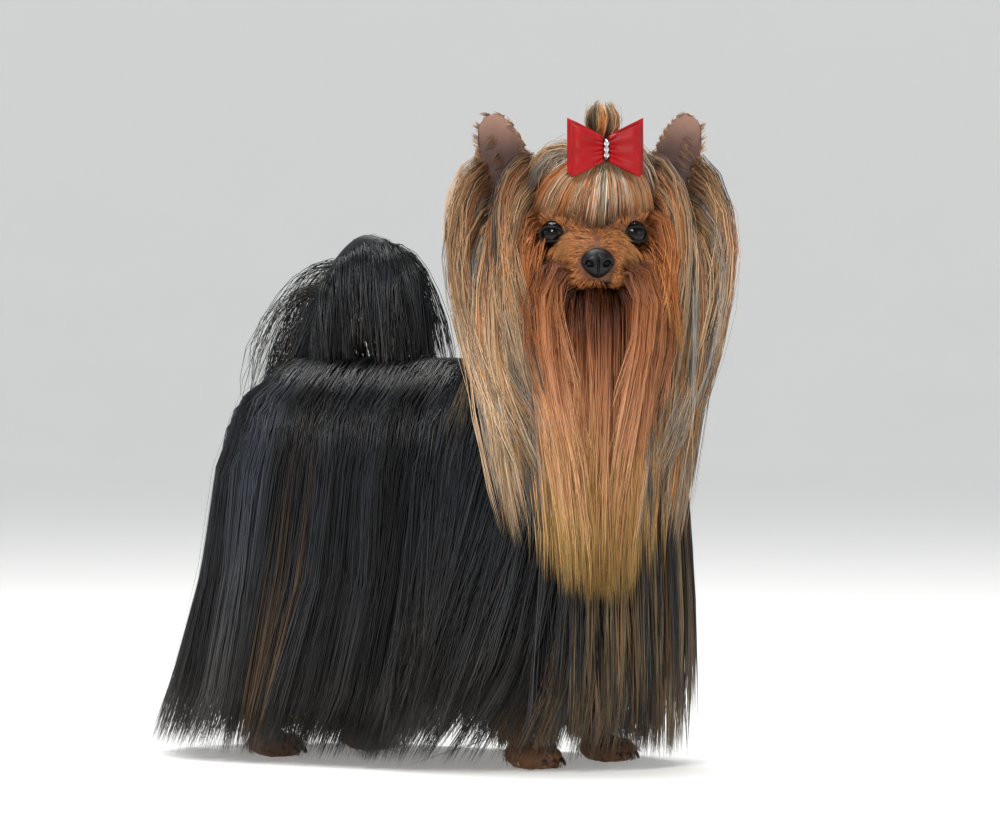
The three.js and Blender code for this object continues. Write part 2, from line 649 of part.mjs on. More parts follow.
const torso = joined([trunkCore(), coatLocks()]);
const neckInside = neckCore().subtract(trunkForm(1, 1.2));
const neck = joined([neckInside, maneLocks().subtract(grownTorso)]).subtract(grownHeadCore);
const solids = {
  torso,
  neck,
  head: joined([headCore(), joined([faceLocks(), crownLocks()]).subtract(joined([clearOfHead, neck]))])
    .subtract(grownEarCups)
    .subtract(noseForm(GAP))
    .subtract(joined(SIDES.map((side) => eyeball(side, GAP)))),
  nose: noseForm(),
  topknot: topknotForm().subtract(grownBow),
  bow_band: bowBand(),
  tail: joined([tailCore(), tailLocks()]).subtract(joined([grownTorso, torso])),
};
for (const side of SIDES) {
  const name = side > 0 ? "left" : "right";
  solids["eye_" + name] = eyeball(side);
  solids["bow_" + name] = bowSide(side).subtract(bowBand(GAP));
  const others = joined([grownTorso, grownNeck, grownBow, grownTopknot, grownHead]);
  solids["ear_" + name] = joined([earCup(side), earLocks(side).subtract(others)]).subtract(others);
}
Object.entries(LEGS).forEach(([name, leg], i) => {
  solids[name] = joined([legCore(leg), legLocks(leg, 61 + i)]).subtract(grownTorso);
});

// Colours and finishes
const coat = (color, roughness = 0.45) => new THREE.MeshStandardMaterial({ color, roughness, metalness: 0 });
const MATERIALS = {
  torso: coat(0x1b1d22),
  neck: coat(0x3b332d),
  head: coat(0xa8683a),
  ear_left: coat(0xa98a68),
  ear_right: coat(0xa98a68),
  topknot: coat(0x8a755c),
  tail: coat(0x16171b),
  leg_front_right: coat(0x7a5a3c),
  leg_front_left: coat(0x7a5a3c),
  leg_hind_right: coat(0x6b5038),
  leg_hind_left: coat(0x6b5038),
  nose: coat(0x0c0c0e, 0.35),
  eye_left: coat(0x0a0807, 0.05),
  eye_right: coat(0x0a0807, 0.05),
  bow_left: coat(0xc01020, 0.3),
  bow_right: coat(0xc01020, 0.3),
  bow_band: new THREE.MeshStandardMaterial({ color: 0xc8c8cc, roughness: 0.2, metalness: 0.9 }),
};

function geometryOf(body) {
  const { numProp, vertProperties, triVerts } = body.getMesh();
  const points = new Float32Array((vertProperties.length / numProp) * 3);
  for (const i of steps(points.length / 3)) {
    points.set(vertProperties.subarray(i * numProp, i * numProp + 3), i * 3);
  }
  const geometry = new THREE.BufferGeometry();
  geometry.setAttribute("position", new THREE.BufferAttribute(points, 3));
  geometry.setIndex(new THREE.BufferAttribute(new Uint32Array(triVerts), 1));
  geometry.computeVertexNormals();
  return geometry;
}

const dog = new THREE.Group();
for (const [name, body] of Object.entries(solids)) {
  const mesh = new THREE.Mesh(geometryOf(largest(body)), MATERIALS[name]);
  mesh.name = name;
  dog.add(mesh);
}

// The origin goes under the middle of the whole animal.
const box = new THREE.Box3().setFromObject(dog);
const middle = box.getCenter(at(0, 0, 0));
dog.position.set(-middle.x, -middle.y, -box.min.z);

export default dog;
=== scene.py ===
# %% [markdown]
# # A Yorkshire terrier in full show coat
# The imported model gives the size, the pose and the place of every part. This lesson dresses it: one skin, glossy eyes
# and nose, a satin bow, and a coat of many thousand solid strands that hang from a parting as a real show coat does.
# Lengths are millimetres in the animal's own frame until the last moment, because the breed's sizes are easy to read.

# %% Load the frame
import json
import math

import bpy
import numpy as np
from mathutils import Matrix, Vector
from mathutils.kdtree import KDTree

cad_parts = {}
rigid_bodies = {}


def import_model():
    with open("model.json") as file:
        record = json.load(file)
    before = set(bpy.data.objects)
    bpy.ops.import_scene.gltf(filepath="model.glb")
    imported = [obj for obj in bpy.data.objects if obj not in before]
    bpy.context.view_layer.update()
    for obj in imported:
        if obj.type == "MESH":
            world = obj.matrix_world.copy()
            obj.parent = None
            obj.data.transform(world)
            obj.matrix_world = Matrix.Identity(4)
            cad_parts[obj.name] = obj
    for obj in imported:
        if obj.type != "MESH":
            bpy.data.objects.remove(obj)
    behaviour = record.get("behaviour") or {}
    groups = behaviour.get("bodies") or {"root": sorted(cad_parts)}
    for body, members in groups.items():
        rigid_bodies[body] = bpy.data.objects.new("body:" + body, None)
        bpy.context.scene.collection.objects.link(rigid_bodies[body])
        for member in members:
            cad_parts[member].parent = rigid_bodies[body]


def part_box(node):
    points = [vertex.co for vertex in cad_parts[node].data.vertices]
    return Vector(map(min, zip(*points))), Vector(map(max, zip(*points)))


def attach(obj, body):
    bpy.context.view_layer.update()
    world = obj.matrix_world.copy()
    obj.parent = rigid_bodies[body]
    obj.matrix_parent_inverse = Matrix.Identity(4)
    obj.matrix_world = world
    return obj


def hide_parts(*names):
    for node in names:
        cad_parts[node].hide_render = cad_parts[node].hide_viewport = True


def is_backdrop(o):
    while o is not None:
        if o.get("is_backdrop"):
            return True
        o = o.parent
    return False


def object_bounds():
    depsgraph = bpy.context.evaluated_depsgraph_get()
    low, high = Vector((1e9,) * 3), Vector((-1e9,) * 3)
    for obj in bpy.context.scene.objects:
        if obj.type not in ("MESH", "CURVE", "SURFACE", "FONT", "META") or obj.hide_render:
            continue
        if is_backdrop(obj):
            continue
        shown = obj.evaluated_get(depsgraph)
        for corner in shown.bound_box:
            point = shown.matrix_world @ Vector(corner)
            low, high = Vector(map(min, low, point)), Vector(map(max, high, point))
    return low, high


for thing in list(bpy.data.objects):
    bpy.data.objects.remove(thing)
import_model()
cad_box = np.array([list(corner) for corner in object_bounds()])
print("box of the packed model in metres:", cad_box.round(4).tolist())

# %% [markdown]
# ## Sizes and directions
# The trunk with its coat is a bell round the spine, and the head is measured from the middle of the braincase: ahead,
# aside and up. A head that looks to the right is only those three numbers turned, so every feature is placed once.

# %% Driving sizes
MM = 0.001
BACK_HEIGHT, RIB_LEVEL, RIB_HALF = 212.0, 150.0, 45.0
SPINE_FRONT, SPINE_REAR = 58.0, -80.0
BACK_COAT, SIDE_COAT, CORE_LAYER, CORE_BOTTOM = 12.0, 22.0, 0.45, 84.0
HEM_FLARE, HEM_SWEEP, HEM_HEIGHT = 22.0, 20.0, 2.0
FAN = 0.24
HEAD_AT = np.array([90.0, -5.0, 286.0])
HEAD_YAW = math.radians(-51.6)
EYE = {"radius": 8.0, "ahead": 22.5, "aside": 20.5, "up": -2.0}
NOSE = {"ahead": 53.0, "up": -17.0, "half": 9.0, "high": 8.0, "deep": 7.0}
EAR = {"ahead": -6.0, "aside": 31.0, "up": 18.0, "height": 50.0, "half": 15.0, "wall": 2.4, "lean": 0.4}
NECK_FOOT, NECK_TOP, NECK_HALF = np.array([52.0, 0, 176]), np.array([84.0, -3, 268]), 30.0
TIE = {"ahead": 17.0, "aside": 5.0, "up": 40.0}
TAIL_PATH = np.array([[-74, 0, 200], [-84, 0, 228], [-82, 0, 258], [-64, 0, 278], [-44, 0, 276]], float)
UP = np.array([0.0, 0.0, 1.0])
SIDES = (-1, 1)
WORDS = {-1: "right", 1: "left"}
FULL_TURN = 2 * math.pi


def unit(vectors):
    """Each vector divided by its length."""
    return vectors / np.maximum(np.linalg.norm(vectors, axis=-1, keepdims=True), 1e-9)


def head_way(ahead, aside, up):
    """A direction of the head's frame turned by its yaw: x = ahead cos - aside sin, y = ahead sin + aside cos."""
    ahead, aside, up = np.broadcast_arrays(*(np.asarray(v, float) for v in (ahead, aside, up)))
    cos, sin = math.cos(HEAD_YAW), math.sin(HEAD_YAW)
    return np.stack([ahead * cos - aside * sin, ahead * sin + aside * cos, up], -1)


def on_head(ahead, aside, up):
    """The point that lies so far ahead of, beside and above the middle of the braincase."""
    return head_way(ahead, aside, up) + HEAD_AT


def in_head(points):
    """The reverse of on_head: ahead, aside and up of points."""
    away = points - HEAD_AT
    return np.stack([away @ head_way(1, 0, 0), away @ head_way(0, 1, 0), away[..., 2]], -1)


def compass(angle):
    """A level direction for each angle from the front, turning to the left."""
    return np.stack([np.cos(angle), np.sin(angle), 0 * angle], -1)


def both_sides(count):
    """Right and left in turn, as -1 and 1."""
    return np.where(np.arange(count) % 2, 1.0, -1.0)


def ease(low, high, value):
    """0 below low and 1 above high, and 3x^2 - 2x^3 between them."""
    x = np.clip((value - low) / (high - low), 0, 1)
    return x * x * (3 - 2 * x)


eye_box = np.array([list(corner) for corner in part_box("eye_left")])
SHIFT = eye_box.mean(0) / MM - on_head(EYE["ahead"], EYE["aside"], EYE["up"])
ROOM = 0.018 * (cad_box[1] - cad_box[0])
print("the animal's frame is shifted by", SHIFT.round(2), "mm to the packed frame")

# %% [markdown]
# ## The bell and the drape
# A show coat hangs in one curtain from the parting along the back. The curtain is a surface of two numbers: p, how far
# round one side it is, and fall, which is 0 at the parting, 1 at the ribs and 2 at the hem. Hair that grows higher up,
# on the neck or the head, settles along its first direction, hangs down, and is pushed clear of that bell.

# %% The bell


def bell_radius(z, layer, over=0.0):
    """Distance of the coat from the spine at height z: a quarter ellipse above the ribs, and below them the half
    width plus a flare that grows with the power 1.3 of the depth."""
    top = BACK_HEIGHT + BACK_COAT * layer + over
    half = RIB_HALF + SIDE_COAT * layer + over
    rounded = half * np.sqrt(np.clip(1 - ((z - RIB_LEVEL) / (top - RIB_LEVEL)) ** 2, 0, 1))
    hanging = half + HEM_FLARE * layer * np.clip((RIB_LEVEL - z) / RIB_LEVEL, 0, None) ** 1.3
    return np.where(z > RIB_LEVEL, rounded, hanging)


def stand(p, side):
    """Where share p of one side starts on the spine, and which way it looks: the ends turn through quarter circles."""
    turn = np.where(p < FAN, p / FAN, np.where(p > 1 - FAN, 1 + (p - 1 + FAN) / FAN, 1.0))
    x = SPINE_FRONT + (SPINE_REAR - SPINE_FRONT) * np.clip((p - FAN) / (1 - 2 * FAN), 0, 1)
    angle = turn * math.pi / 2
    return x, np.stack([np.cos(angle), side * np.sin(angle), 0 * angle], -1)


def swept(z):
    """How far the coat has drifted to the rear: a square of its depth below the ribs."""
    return HEM_SWEEP * np.clip((RIB_LEVEL - z) / (RIB_LEVEL - HEM_HEIGHT), 0, 1) ** 2


def on_bell(p, side, fall, layer, over=0.0):
    """A point of the coat. Above the ribs it runs round a quarter ellipse, and below them straight down to the hem."""
    x, out = stand(p, side)
    bend = np.minimum(1, fall) * math.pi / 2
    top = BACK_HEIGHT + BACK_COAT * layer + over
    z = RIB_LEVEL + (top - RIB_LEVEL) * np.cos(bend)
    z = np.where(fall > 1, RIB_LEVEL + (HEM_HEIGHT - RIB_LEVEL) * (fall - 1), z)
    half = RIB_HALF + SIDE_COAT * layer + over
    radius = np.where(fall < 1, half * np.sin(bend), bell_radius(z, layer, over))
    return np.stack([x - swept(z), 0 * z, z], -1) + out * radius[..., None]


def drape(points, margin, way=None):
    """Points that are nearer than margin to the bell or the neck move out, along way or else straight away from it."""
    neck = NECK_TOP - NECK_FOOT
    for _ in range(2 if way is None else 14):
        back = swept(points[..., 2])
        x = np.clip(points[..., 0] + back, SPINE_REAR, SPINE_FRONT) - back
        out = np.stack([points[..., 0] - x, points[..., 1], 0 * x], -1)
        short = np.clip(bell_radius(points[..., 2], 1.0, margin) - np.linalg.norm(out, axis=-1), 0, None)
        points = points + (unit(out) if way is None else way) * short[..., None]
        share = np.clip((points - NECK_FOOT) @ neck / (neck @ neck), 0, 1)
        away = points - NECK_FOOT - share[..., None] * neck
        short = np.clip(NECK_HALF + margin - np.linalg.norm(away, axis=-1), 0, None)
        points = points + (unit(away) if way is None else way) * short[..., None]
    return points


# %% [markdown]
# ## One mesh from arrays
# Every surface here is worked out as whole arrays of points. A closed form is a grid of rows and sides whose first and
# last row have shrunk to a point, so it needs only a function of t, from end to end, and an angle round it.

# %% Meshes from arrays


def new_piece(name, points, faces, smooth=True):
    """A Blender object from points in millimetres and an array of faces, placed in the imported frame."""
    mesh = bpy.data.meshes.new(name)
    corners = faces.shape[1]
    mesh.vertices.add(len(points))
    mesh.vertices.foreach_set("co", ((points + SHIFT) * MM).astype(np.float32).ravel())
    mesh.loops.add(faces.size)
    mesh.loops.foreach_set("vertex_index", faces.astype(np.int32).ravel())
    mesh.polygons.add(len(faces))
    mesh.polygons.foreach_set("loop_start", np.arange(0, faces.size, corners, dtype=np.int32))
    mesh.polygons.foreach_set("use_smooth", np.full(len(faces), smooth))
    mesh.update(calc_edges=True)
    mesh.validate()
    piece = bpy.data.objects.new(name, mesh)
    bpy.context.scene.collection.objects.link(piece)
    return piece


def give(piece, name, values):
    """One number or one colour for each point of a piece, which its material reads by name."""
    values = np.asarray(values, np.float32)
    colour = values.ndim == 2
    layer = piece.data.attributes.new(name, "FLOAT_COLOR" if colour else "FLOAT", "POINT")
    if colour:
        values = np.concatenate([values, np.ones((len(values), 1), np.float32)], 1)
    layer.data.foreach_set("color" if colour else "value", values.ravel())


def give_map(piece, name, uv, faces):
    """A UV map from one pair of numbers for each point."""
    layer = piece.data.uv_layers.new(name=name)
    layer.data.foreach_set("uv", uv[faces.ravel()].astype(np.float32).ravel())


def cells(rows, cols, closed=(False, False)):
    """Four corners for each cell of a grid of points. A closed direction runs on from its end into its start."""
    i = np.arange(rows if closed[0] else rows - 1)[:, None]
    j = np.arange(cols if closed[1] else cols - 1)[None, :]
    low, high, after = i * cols, (i + 1) % rows * cols, (j + 1) % cols
    return np.stack([low + j, low + after, high + after, high + j], -1).reshape(-1, 4)


def halved(quads):
    """Two triangles for each four-cornered cell."""
    return quads[:, [0, 1, 2, 0, 2, 3]].reshape(-1, 3)


def outward(points, faces):
    """The triangles of a closed body, turned round if its volume, summed over them, comes out negative."""
    corners = (points - points.mean(0))[faces]
    volume = np.einsum("ij,ij->i", corners[:, 0], np.cross(corners[:, 1], corners[:, 2])).sum()
    return faces if volume > 0 else faces[:, ::-1]


def closed_form(place, sides, rows):
    """Points and triangles of a closed body: place(t, angle) on rows of t from 0 to 1, closed by a point at each
    end."""
    t, angle = np.meshgrid(np.arange(1, rows) / rows, np.arange(sides) / sides * FULL_TURN, indexing="ij")
    ends = [place(np.array([[end]]), np.array([[0.0]])).reshape(1, 3) for end in (0.0, 1.0)]
    points = np.concatenate([place(t, angle).reshape(-1, 3), *ends])
    walls = halved(cells(rows - 1, sides, (False, True)))
    first, last = (rows - 1) * sides, (rows - 1) * sides + 1
    s, n = np.arange(sides), (np.arange(sides) + 1) % sides
    start = np.stack([n, s, np.full(sides, first)], -1)
    end = np.stack([s + (rows - 2) * sides, n + (rows - 2) * sides, np.full(sides, last)], -1)
    return points, outward(points, np.concatenate([walls, start, end]))


def bulge(t, power=2.0):
    """How far a form has opened between its two closed ends: the root of 1 - |2t - 1|^power."""
    return np.sqrt(np.clip(1 - np.abs(2 * t - 1) ** power, 0, 1))


def curve_at(knots, t):
    """A smooth curve through knots: cubic pieces whose slope at a knot is half the step between its neighbours."""
    knots = np.asarray(knots, float)
    padded = np.concatenate([[2 * knots[0] - knots[1]], knots, [2 * knots[-1] - knots[-2]]])
    place = np.clip(t, 0, 1) * (len(knots) - 1)
    i = np.minimum(place.astype(int), len(knots) - 2)
    x = (place - i)[..., None]
    a, b, c, d = (padded[i + k] for k in range(4))
    return 0.5 * (2 * b + (c - a) * x + (2 * a - 5 * b + 4 * c - d) * x**2 + (3 * b - a - 3 * c + d) * x**3)


def tube(knots, section, sides, rows, hint=UP):
    """A round-ended tube along a curve: section(t) gives its half width and half height, and hint its upper side."""

    def place(t, angle):
        ahead = unit(curve_at(knots, t + 0.01) - curve_at(knots, t - 0.01))
        across = unit(np.cross(hint, ahead))
        over = np.cross(ahead, across)
        half, high = section(t)
        rounded = across * (half * np.cos(angle))[..., None] + over * (high * np.sin(angle))[..., None]
        return curve_at(knots, t) + rounded

    return closed_form(place, sides, rows)


def ellipsoid(centre, axes, radii, sides, rows):
    """Centre plus radius times cosine along the first axis, and sine times cosine and sine round it."""

    def place(t, angle):
        parts = (np.cos(math.pi * t), np.sin(math.pi * t) * np.cos(angle), np.sin(math.pi * t) * np.sin(angle))
        return centre + sum(radius * part[..., None] * axis for radius, part, axis in zip(radii, parts, axes))

    return closed_form(place, sides, rows)


def merged(bodies):
    """Several bodies as one array of points and one of faces."""
    starts = np.cumsum([0] + [len(points) for points, _ in bodies])
    faces = [faces + start for (_, faces), start in zip(bodies, starts)]
    return np.concatenate([points for points, _ in bodies]), np.concatenate(faces)


# %% [markdown]
# ## Colours and shader groups
# The breed is dark steel blue on the body and a rich tan on the head, chest and legs, where each hair is darker at its
# root and paler at its tip. Hair is never one colour, so each strand carries its own, and the shader only adds what
# changes along and across it. Effects that several materials share are node groups with named inputs.

# %% Palette


def paint(code):
    """A colour written in hexadecimal as three linear numbers, by the usual screen curve."""
    parts = np.array([int(code[i : i + 2], 16) / 255 for i in (0, 2, 4)])
    return np.where(parts <= 0.04045, parts / 12.92, ((parts + 0.055) / 1.055) ** 2.4)


# Each ramp runs from root to tip, once for the dark strands of a region and once for the light ones.
RAMPS = {
    "steel": (["040406", "08090c", "100d0c"], ["1c1f26", "4a505b", "5e5a55"]),
    "hind": (["060709", "0a0908", "2e231b", "5a4632"], ["181b20", "2c2824", "806850", "a88c6c"]),
    "slate": (["2e2c2a", "4a4743", "5a564f"], ["66615b", "a8a39b", "b0aaa0"]),
    "tan": (["6a3416", "a85c2a", "a06a34"], ["c07038", "eca468", "dcb074"]),
    "beard": (["3c1c0c", "8c4a26", "a8683c", "8c6834"], ["8c4a26", "d08c5c", "f4bc94", "ccaa60"]),
    # soot: the chin hair's own dark reddish brown, with near-black roots that are painted shade under the muzzle
    "soot": (["140906", "46200f", "955430", "8a5c30", "7a5c2c"], ["34180e", "94522c", "e0a074", "e4ac7c", "c8a45a"]),
    "ear": (["4a3028", "7a5648", "8a6a54"], ["80584a", "b48c78", "ccac8c"]),
    "ash": (["5a4029", "866242", "8f7658"], ["c89868", "ecc8a0", "d4b898"]),
    "grizzle": (["120f0d", "2b221b", "4a3b2c"], ["5a4632", "8f7857", "a08c6c"]),
    "cream": (["6a4c30", "8c7456", "6c5238"], ["c09468", "f2e8d4", "c8b48e"]),
    "leg": (["3a2414", "6e4a28", "5a4430"], ["8a6238", "b48c5c", "9a8668"]),
}
RAMPS = {name: [np.array([paint(code) for code in codes]) for codes in pair] for name, pair in RAMPS.items()}


def ramp_colour(region, t, light):
    """The colour at share t of a strand: its dark and its light ramp, mixed by light."""
    dark, pale = RAMPS[region]
    stops = np.linspace(0, 1, len(dark))
    low, high = (np.stack([np.interp(t, stops, ramp[:, i]) for i in range(3)], -1) for ramp in (dark, pale))
    return low + (high - low) * light[..., None]


# %% Shader helpers


def node(tree, kind, at=(0, 0), **settings):
    """A node of a tree. A setting is a property of the node, or the value of the input of that name."""
    made = tree.nodes.new(kind)
    made.location = at
    for name, value in settings.items():
        if hasattr(made, name):
            setattr(made, name, value)
        else:
            made.inputs[name.replace("_", " ")].default_value = value
    return made


def new_group(name, inputs, outputs):
    """An empty shader node group. inputs and outputs map each socket's name to its kind."""
    tree = bpy.data.node_groups.new(name, "ShaderNodeTree")
    for title, kind in inputs.items():
        tree.interface.new_socket(title, in_out="INPUT", socket_type="NodeSocket" + kind)
    for title, kind in outputs.items():
        tree.interface.new_socket(title, in_out="OUTPUT", socket_type="NodeSocket" + kind)
    return tree, node(tree, "NodeGroupInput", (-900, 0)), node(tree, "NodeGroupOutput", (600, 0))


def span(tree, at, low, high, **settings):
    """A node that carries a number from 0 to 1 over to a number from low to high."""
    made = node(tree, "ShaderNodeMapRange", at, **settings)
    made.inputs["To Min"].default_value, made.inputs["To Max"].default_value = low, high
    return made


def wire(tree, *pairs):
    """Links from each pair's output to its input. A node stands for its first output."""
    for start, end in pairs:
        tree.links.new(start if isinstance(start, bpy.types.NodeSocket) else start.outputs[0], end)


def new_material(name):
    """An empty Principled material, its tree and the inputs of its shader."""
    material = bpy.data.materials.new(name)
    material.use_nodes = True
    return material, material.node_tree, material.node_tree.nodes["Principled BSDF"].inputs


def strand_group():
    """Hair: fine streaks that run along a strand change its colour and its height, and its root is in shade."""
    tree, given, out = new_group(
        "hair_streaks",
        {"Hair": "Color", "Along": "Float", "Lie": "Vector", "Streaks": "Float", "Root Shade": "Float"},
        {"Colour": "Color", "Roughness": "Float", "Height": "Float"},
    )
    stretch = node(tree, "ShaderNodeVectorMath", (-700, -200), operation="MULTIPLY")
    stretch.inputs[1].default_value = (1.0, 0.012, 1.0)
    streak = node(tree, "ShaderNodeTexNoise", (-500, -200), Scale=1.6, Detail=3.0)
    patch = node(tree, "ShaderNodeTexNoise", (-500, -450), Scale=0.05, Detail=1.0)
    gain = span(tree, (-300, -200), -0.5, 0.5, From_Min=0.3, From_Max=0.7)
    amount = node(tree, "ShaderNodeMath", (-100, -200), operation="MULTIPLY")
    bright = node(tree, "ShaderNodeMath", (50, -200), operation="ADD")
    bright.inputs[1].default_value = 1.0
    shade = node(tree, "ShaderNodeMapRange", (-300, 100), From_Max=0.22)
    root = node(tree, "ShaderNodeMath", (-500, 100), operation="SUBTRACT")
    root.inputs[0].default_value = 1.0
    level = node(tree, "ShaderNodeMath", (200, 0), operation="MULTIPLY")
    colour = node(tree, "ShaderNodeVectorMath", (350, 0), operation="SCALE")
    rough = span(tree, (100, -450), 0.26, 0.42)
    take = given.outputs
    wire(
        tree,
        (take["Lie"], stretch.inputs[0]), (stretch, streak.inputs["Vector"]), (take["Lie"], patch.inputs["Vector"]),
        (streak, gain.inputs[0]), (gain, amount.inputs[0]), (take["Streaks"], amount.inputs[1]),
        (amount, bright.inputs[0]), (take["Root Shade"], root.inputs[1]), (root, shade.inputs["To Min"]),
        (take["Along"], shade.inputs[0]), (bright, level.inputs[0]), (shade, level.inputs[1]),
        (take["Hair"], colour.inputs[0]), (level, colour.inputs["Scale"]), (patch, rough.inputs[0]),
        (colour, out.inputs["Colour"]), (rough, out.inputs["Roughness"]), (streak, out.inputs["Height"]),
    )
    return tree


HAIR_GROUP = strand_group()


def hair_material(name, streaks, root_shade, specular):
    """A hair finish: the strand's own colour through the streak group into one Principled shader."""
    material, tree, shader = new_material(name)
    hair = node(tree, "ShaderNodeAttribute", (-900, 100), attribute_name="hair")
    along = node(tree, "ShaderNodeAttribute", (-900, -100), attribute_name="along")
    lie = node(tree, "ShaderNodeUVMap", (-900, -300), uv_map="Lie")
    group = node(tree, "ShaderNodeGroup", (-500, 0), node_tree=HAIR_GROUP, Streaks=streaks, Root_Shade=root_shade)
    bump = node(tree, "ShaderNodeBump", (-250, -200), Strength=0.35, Distance=0.0002)
    wire(
        tree,
        (hair, group.inputs["Hair"]), (along.outputs["Fac"], group.inputs["Along"]), (lie, group.inputs["Lie"]),
        (group.outputs["Colour"], shader["Base Color"]), (group.outputs["Roughness"], shader["Roughness"]),
        (group.outputs["Height"], bump.inputs["Height"]), (bump, shader["Normal"]),
    )
    shader["Specular IOR Level"].default_value = specular
    return material


HAIR_FINISH = {
    "steel": hair_material("hair_steel", 0.6, 0.4, 0.42),
    "face": hair_material("hair_tan", 0.4, 0.5, 0.3),
    "pale": hair_material("hair_ash", 0.5, 0.4, 0.35),
}
print("hair finishes:", ", ".join(HAIR_FINISH))

# %% [markdown]
# ## The skin
# Under the coat the animal is one skin. Ribs, neck, braincase, muzzle, ears, tail and legs are each a simple closed
# form. Laid over each other and remeshed in small cubes they become one surface without seams, which is then smoothed
# and thinned. The lids are rings of their own that wrap the eyes, because such cubes are too coarse for them.

# %% Forms of the body


def trunk_form():
    """The bell at the core's layer, closed at the back and the belly."""

    def place(t, angle):
        top = BACK_HEIGHT + BACK_COAT * CORE_LAYER
        z = top - (top - CORE_BOTTOM) * (1 - np.cos(math.pi * t)) / 2
        side = np.where(np.sin(angle) < 0, -1.0, 1.0)
        p = np.arccos(np.clip(np.cos(angle), -1, 1)) / math.pi
        x, out = stand(p, side)
        closing = np.where(t > 0.5, np.clip(np.sin(math.pi * t), 0, 1) ** 0.35, 1.0)
        ends = np.where((t > 0) & (t < 1), 1.0, 0.0)
        radius = bell_radius(z, CORE_LAYER) * closing * ends
        return np.stack([x * ends, 0 * z, z], -1) + out * radius[..., None]

    return closed_form(place, 72, 40)


def ear_frame(side):
    """The ear's own directions: up its length, out of its hollow and across it, and the middle of its foot."""
    rise = unit(head_way(0, side * EAR["lean"], 0.92))
    face = unit(head_way(0.9, side * 0.32, -0.1))
    across = unit(np.cross(face, rise))
    return rise, face, across, on_head(EAR["ahead"], side * EAR["aside"], EAR["up"] - 8)


def on_ear(side, t, a, lift):
    """A point of the ear: t up its length, a across it, and lift 1 on the front of its wall and -1 on its back. The
    edges come forward with the square of a, so that the ear is a cup."""
    rise, face, across, foot = ear_frame(side)
    half = EAR["half"] * (1.1 - 0.28 * t) * bulge(t, 3.4)
    depth = 7 * a * a * bulge(t) * (1 - 0.4 * t)
    thick = EAR["wall"] / 2 * lift * bulge(t, 6)
    parts = (t * (EAR["height"] + 8), rise), (a * half, across), (depth + thick, face)
    return foot + sum(np.asarray(length)[..., None] * way for length, way in parts)


HEAD_AXES = [head_way(1, 0, 0), head_way(0, 1, 0), head_way(0, 0, 1)]


def head_forms():
    """Braincase, muzzle and jaw, and on each side a lip, a brow and an ear."""
    forms = [
        ellipsoid(on_head(-4, 0, 0), HEAD_AXES, (38, 35, 28), 48, 32),
        tube(
            on_head(*np.array([[4, 0, -10], [28, 0, -14], [41, 0, -17], [52, 0, -19]], float).T),
            lambda t: ((27 - 15 * t) * bulge(t, 8), (19 - 8.5 * t) * bulge(t, 8)), 36, 30,
        ),
        tube(
            on_head(*np.array([[-4, 0, -24], [20, 0, -31], [44, 0, -35]], float).T),
            lambda t: ((24 - 14.5 * t) * bulge(t, 8), (10 - 3.5 * t) * bulge(t, 8)), 28, 24,
        ),
    ]
    for side in SIDES:
        lip = np.array([[50, 4.5 * side, -24], [40, 11 * side, -24], [23, 18 * side, -22]]).T
        forms.append(tube(on_head(*lip), lambda t: (6.2 * bulge(t, 4), 5 * bulge(t, 4)), 20, 20))
        forms.append(ellipsoid(on_head(17, 17 * side, 9), HEAD_AXES, (11, 12, 7), 20, 14))
        forms.append(closed_form(lambda t, a, side=side: on_ear(side, t, np.cos(a), np.sin(a)), 40, 40))
    return forms


LEGS = {
    "leg_front_right": (-1, [64, 33, 118], [62, 34, 74], [66, 35, 30], [72, 35]),
    "leg_front_left": (1, [64, 33, 118], [62, 34, 74], [66, 35, 30], [72, 35]),
    "leg_hind_right": (-1, [-70, 30, 118], [-72, 34, 72], [-104, 35, 36], [-98, 36]),
    "leg_hind_left": (1, [-70, 30, 118], [-72, 34, 72], [-96, 35, 36], [-88, 36]),
}
PASTERN_HEIGHT = 9.5
TOES = [(-0.95, 11.5), (-0.33, 14.5), (0.33, 14.5), (0.95, 11.5)]


def leg_forms(side, hip, knee, pastern, foot):
    """A shank from the hip to the ankle, a low pad, and four round toes on it."""
    knots = np.array([hip, knee, pastern, [foot[0] - 4, foot[1], PASTERN_HEIGHT]], float) * [1, side, 1]
    shank = tube(knots, lambda t: [(15 - 6.5 * t**0.7) * bulge(t, 8)] * 2, 20, 40, np.array([1.0, 0, 0]))
    axes = np.eye(3)
    heel = ellipsoid(np.array([foot[0] - 3, side * foot[1], 8.0]), axes, (12, 10.5, 8), 20, 14)
    toes = [
        ellipsoid(np.array([foot[0] + ahead - 6, side * foot[1] + 8.6 * across, 6.4]), axes, (9, 4.9, 6.4), 16, 12)
        for across, ahead in TOES
    ]
    return [shank, heel, *toes]


parts = [trunk_form(), *head_forms()]
neck_knots = [NECK_FOOT + [-8, 0, -16], NECK_FOOT, NECK_TOP, NECK_TOP + [3, -1, 10]]
parts.append(tube(neck_knots, lambda t: [NECK_HALF * bulge(t, 6)] * 2, 36, 30, np.array([1.0, 0, 0])))
parts.append(tube(TAIL_PATH, lambda t: [(8 - 3.5 * t) * bulge(t, 8)] * 2, 16, 40, np.array([0, 1.0, 0])))
parts += [form for leg in LEGS.values() for form in leg_forms(*leg)]
skin = new_piece("skin", *merged(parts))
print("the skin starts as", len(parts), "closed forms")

# %% Fuse, smooth and thin them


def settle_modifiers(piece):
    """Applies every modifier of a piece, so that its mesh is what is seen."""
    bpy.context.view_layer.update()
    shown = piece.evaluated_get(bpy.context.evaluated_depsgraph_get())
    mesh = bpy.data.meshes.new_from_object(shown)
    piece.modifiers.clear()
    piece.data = mesh


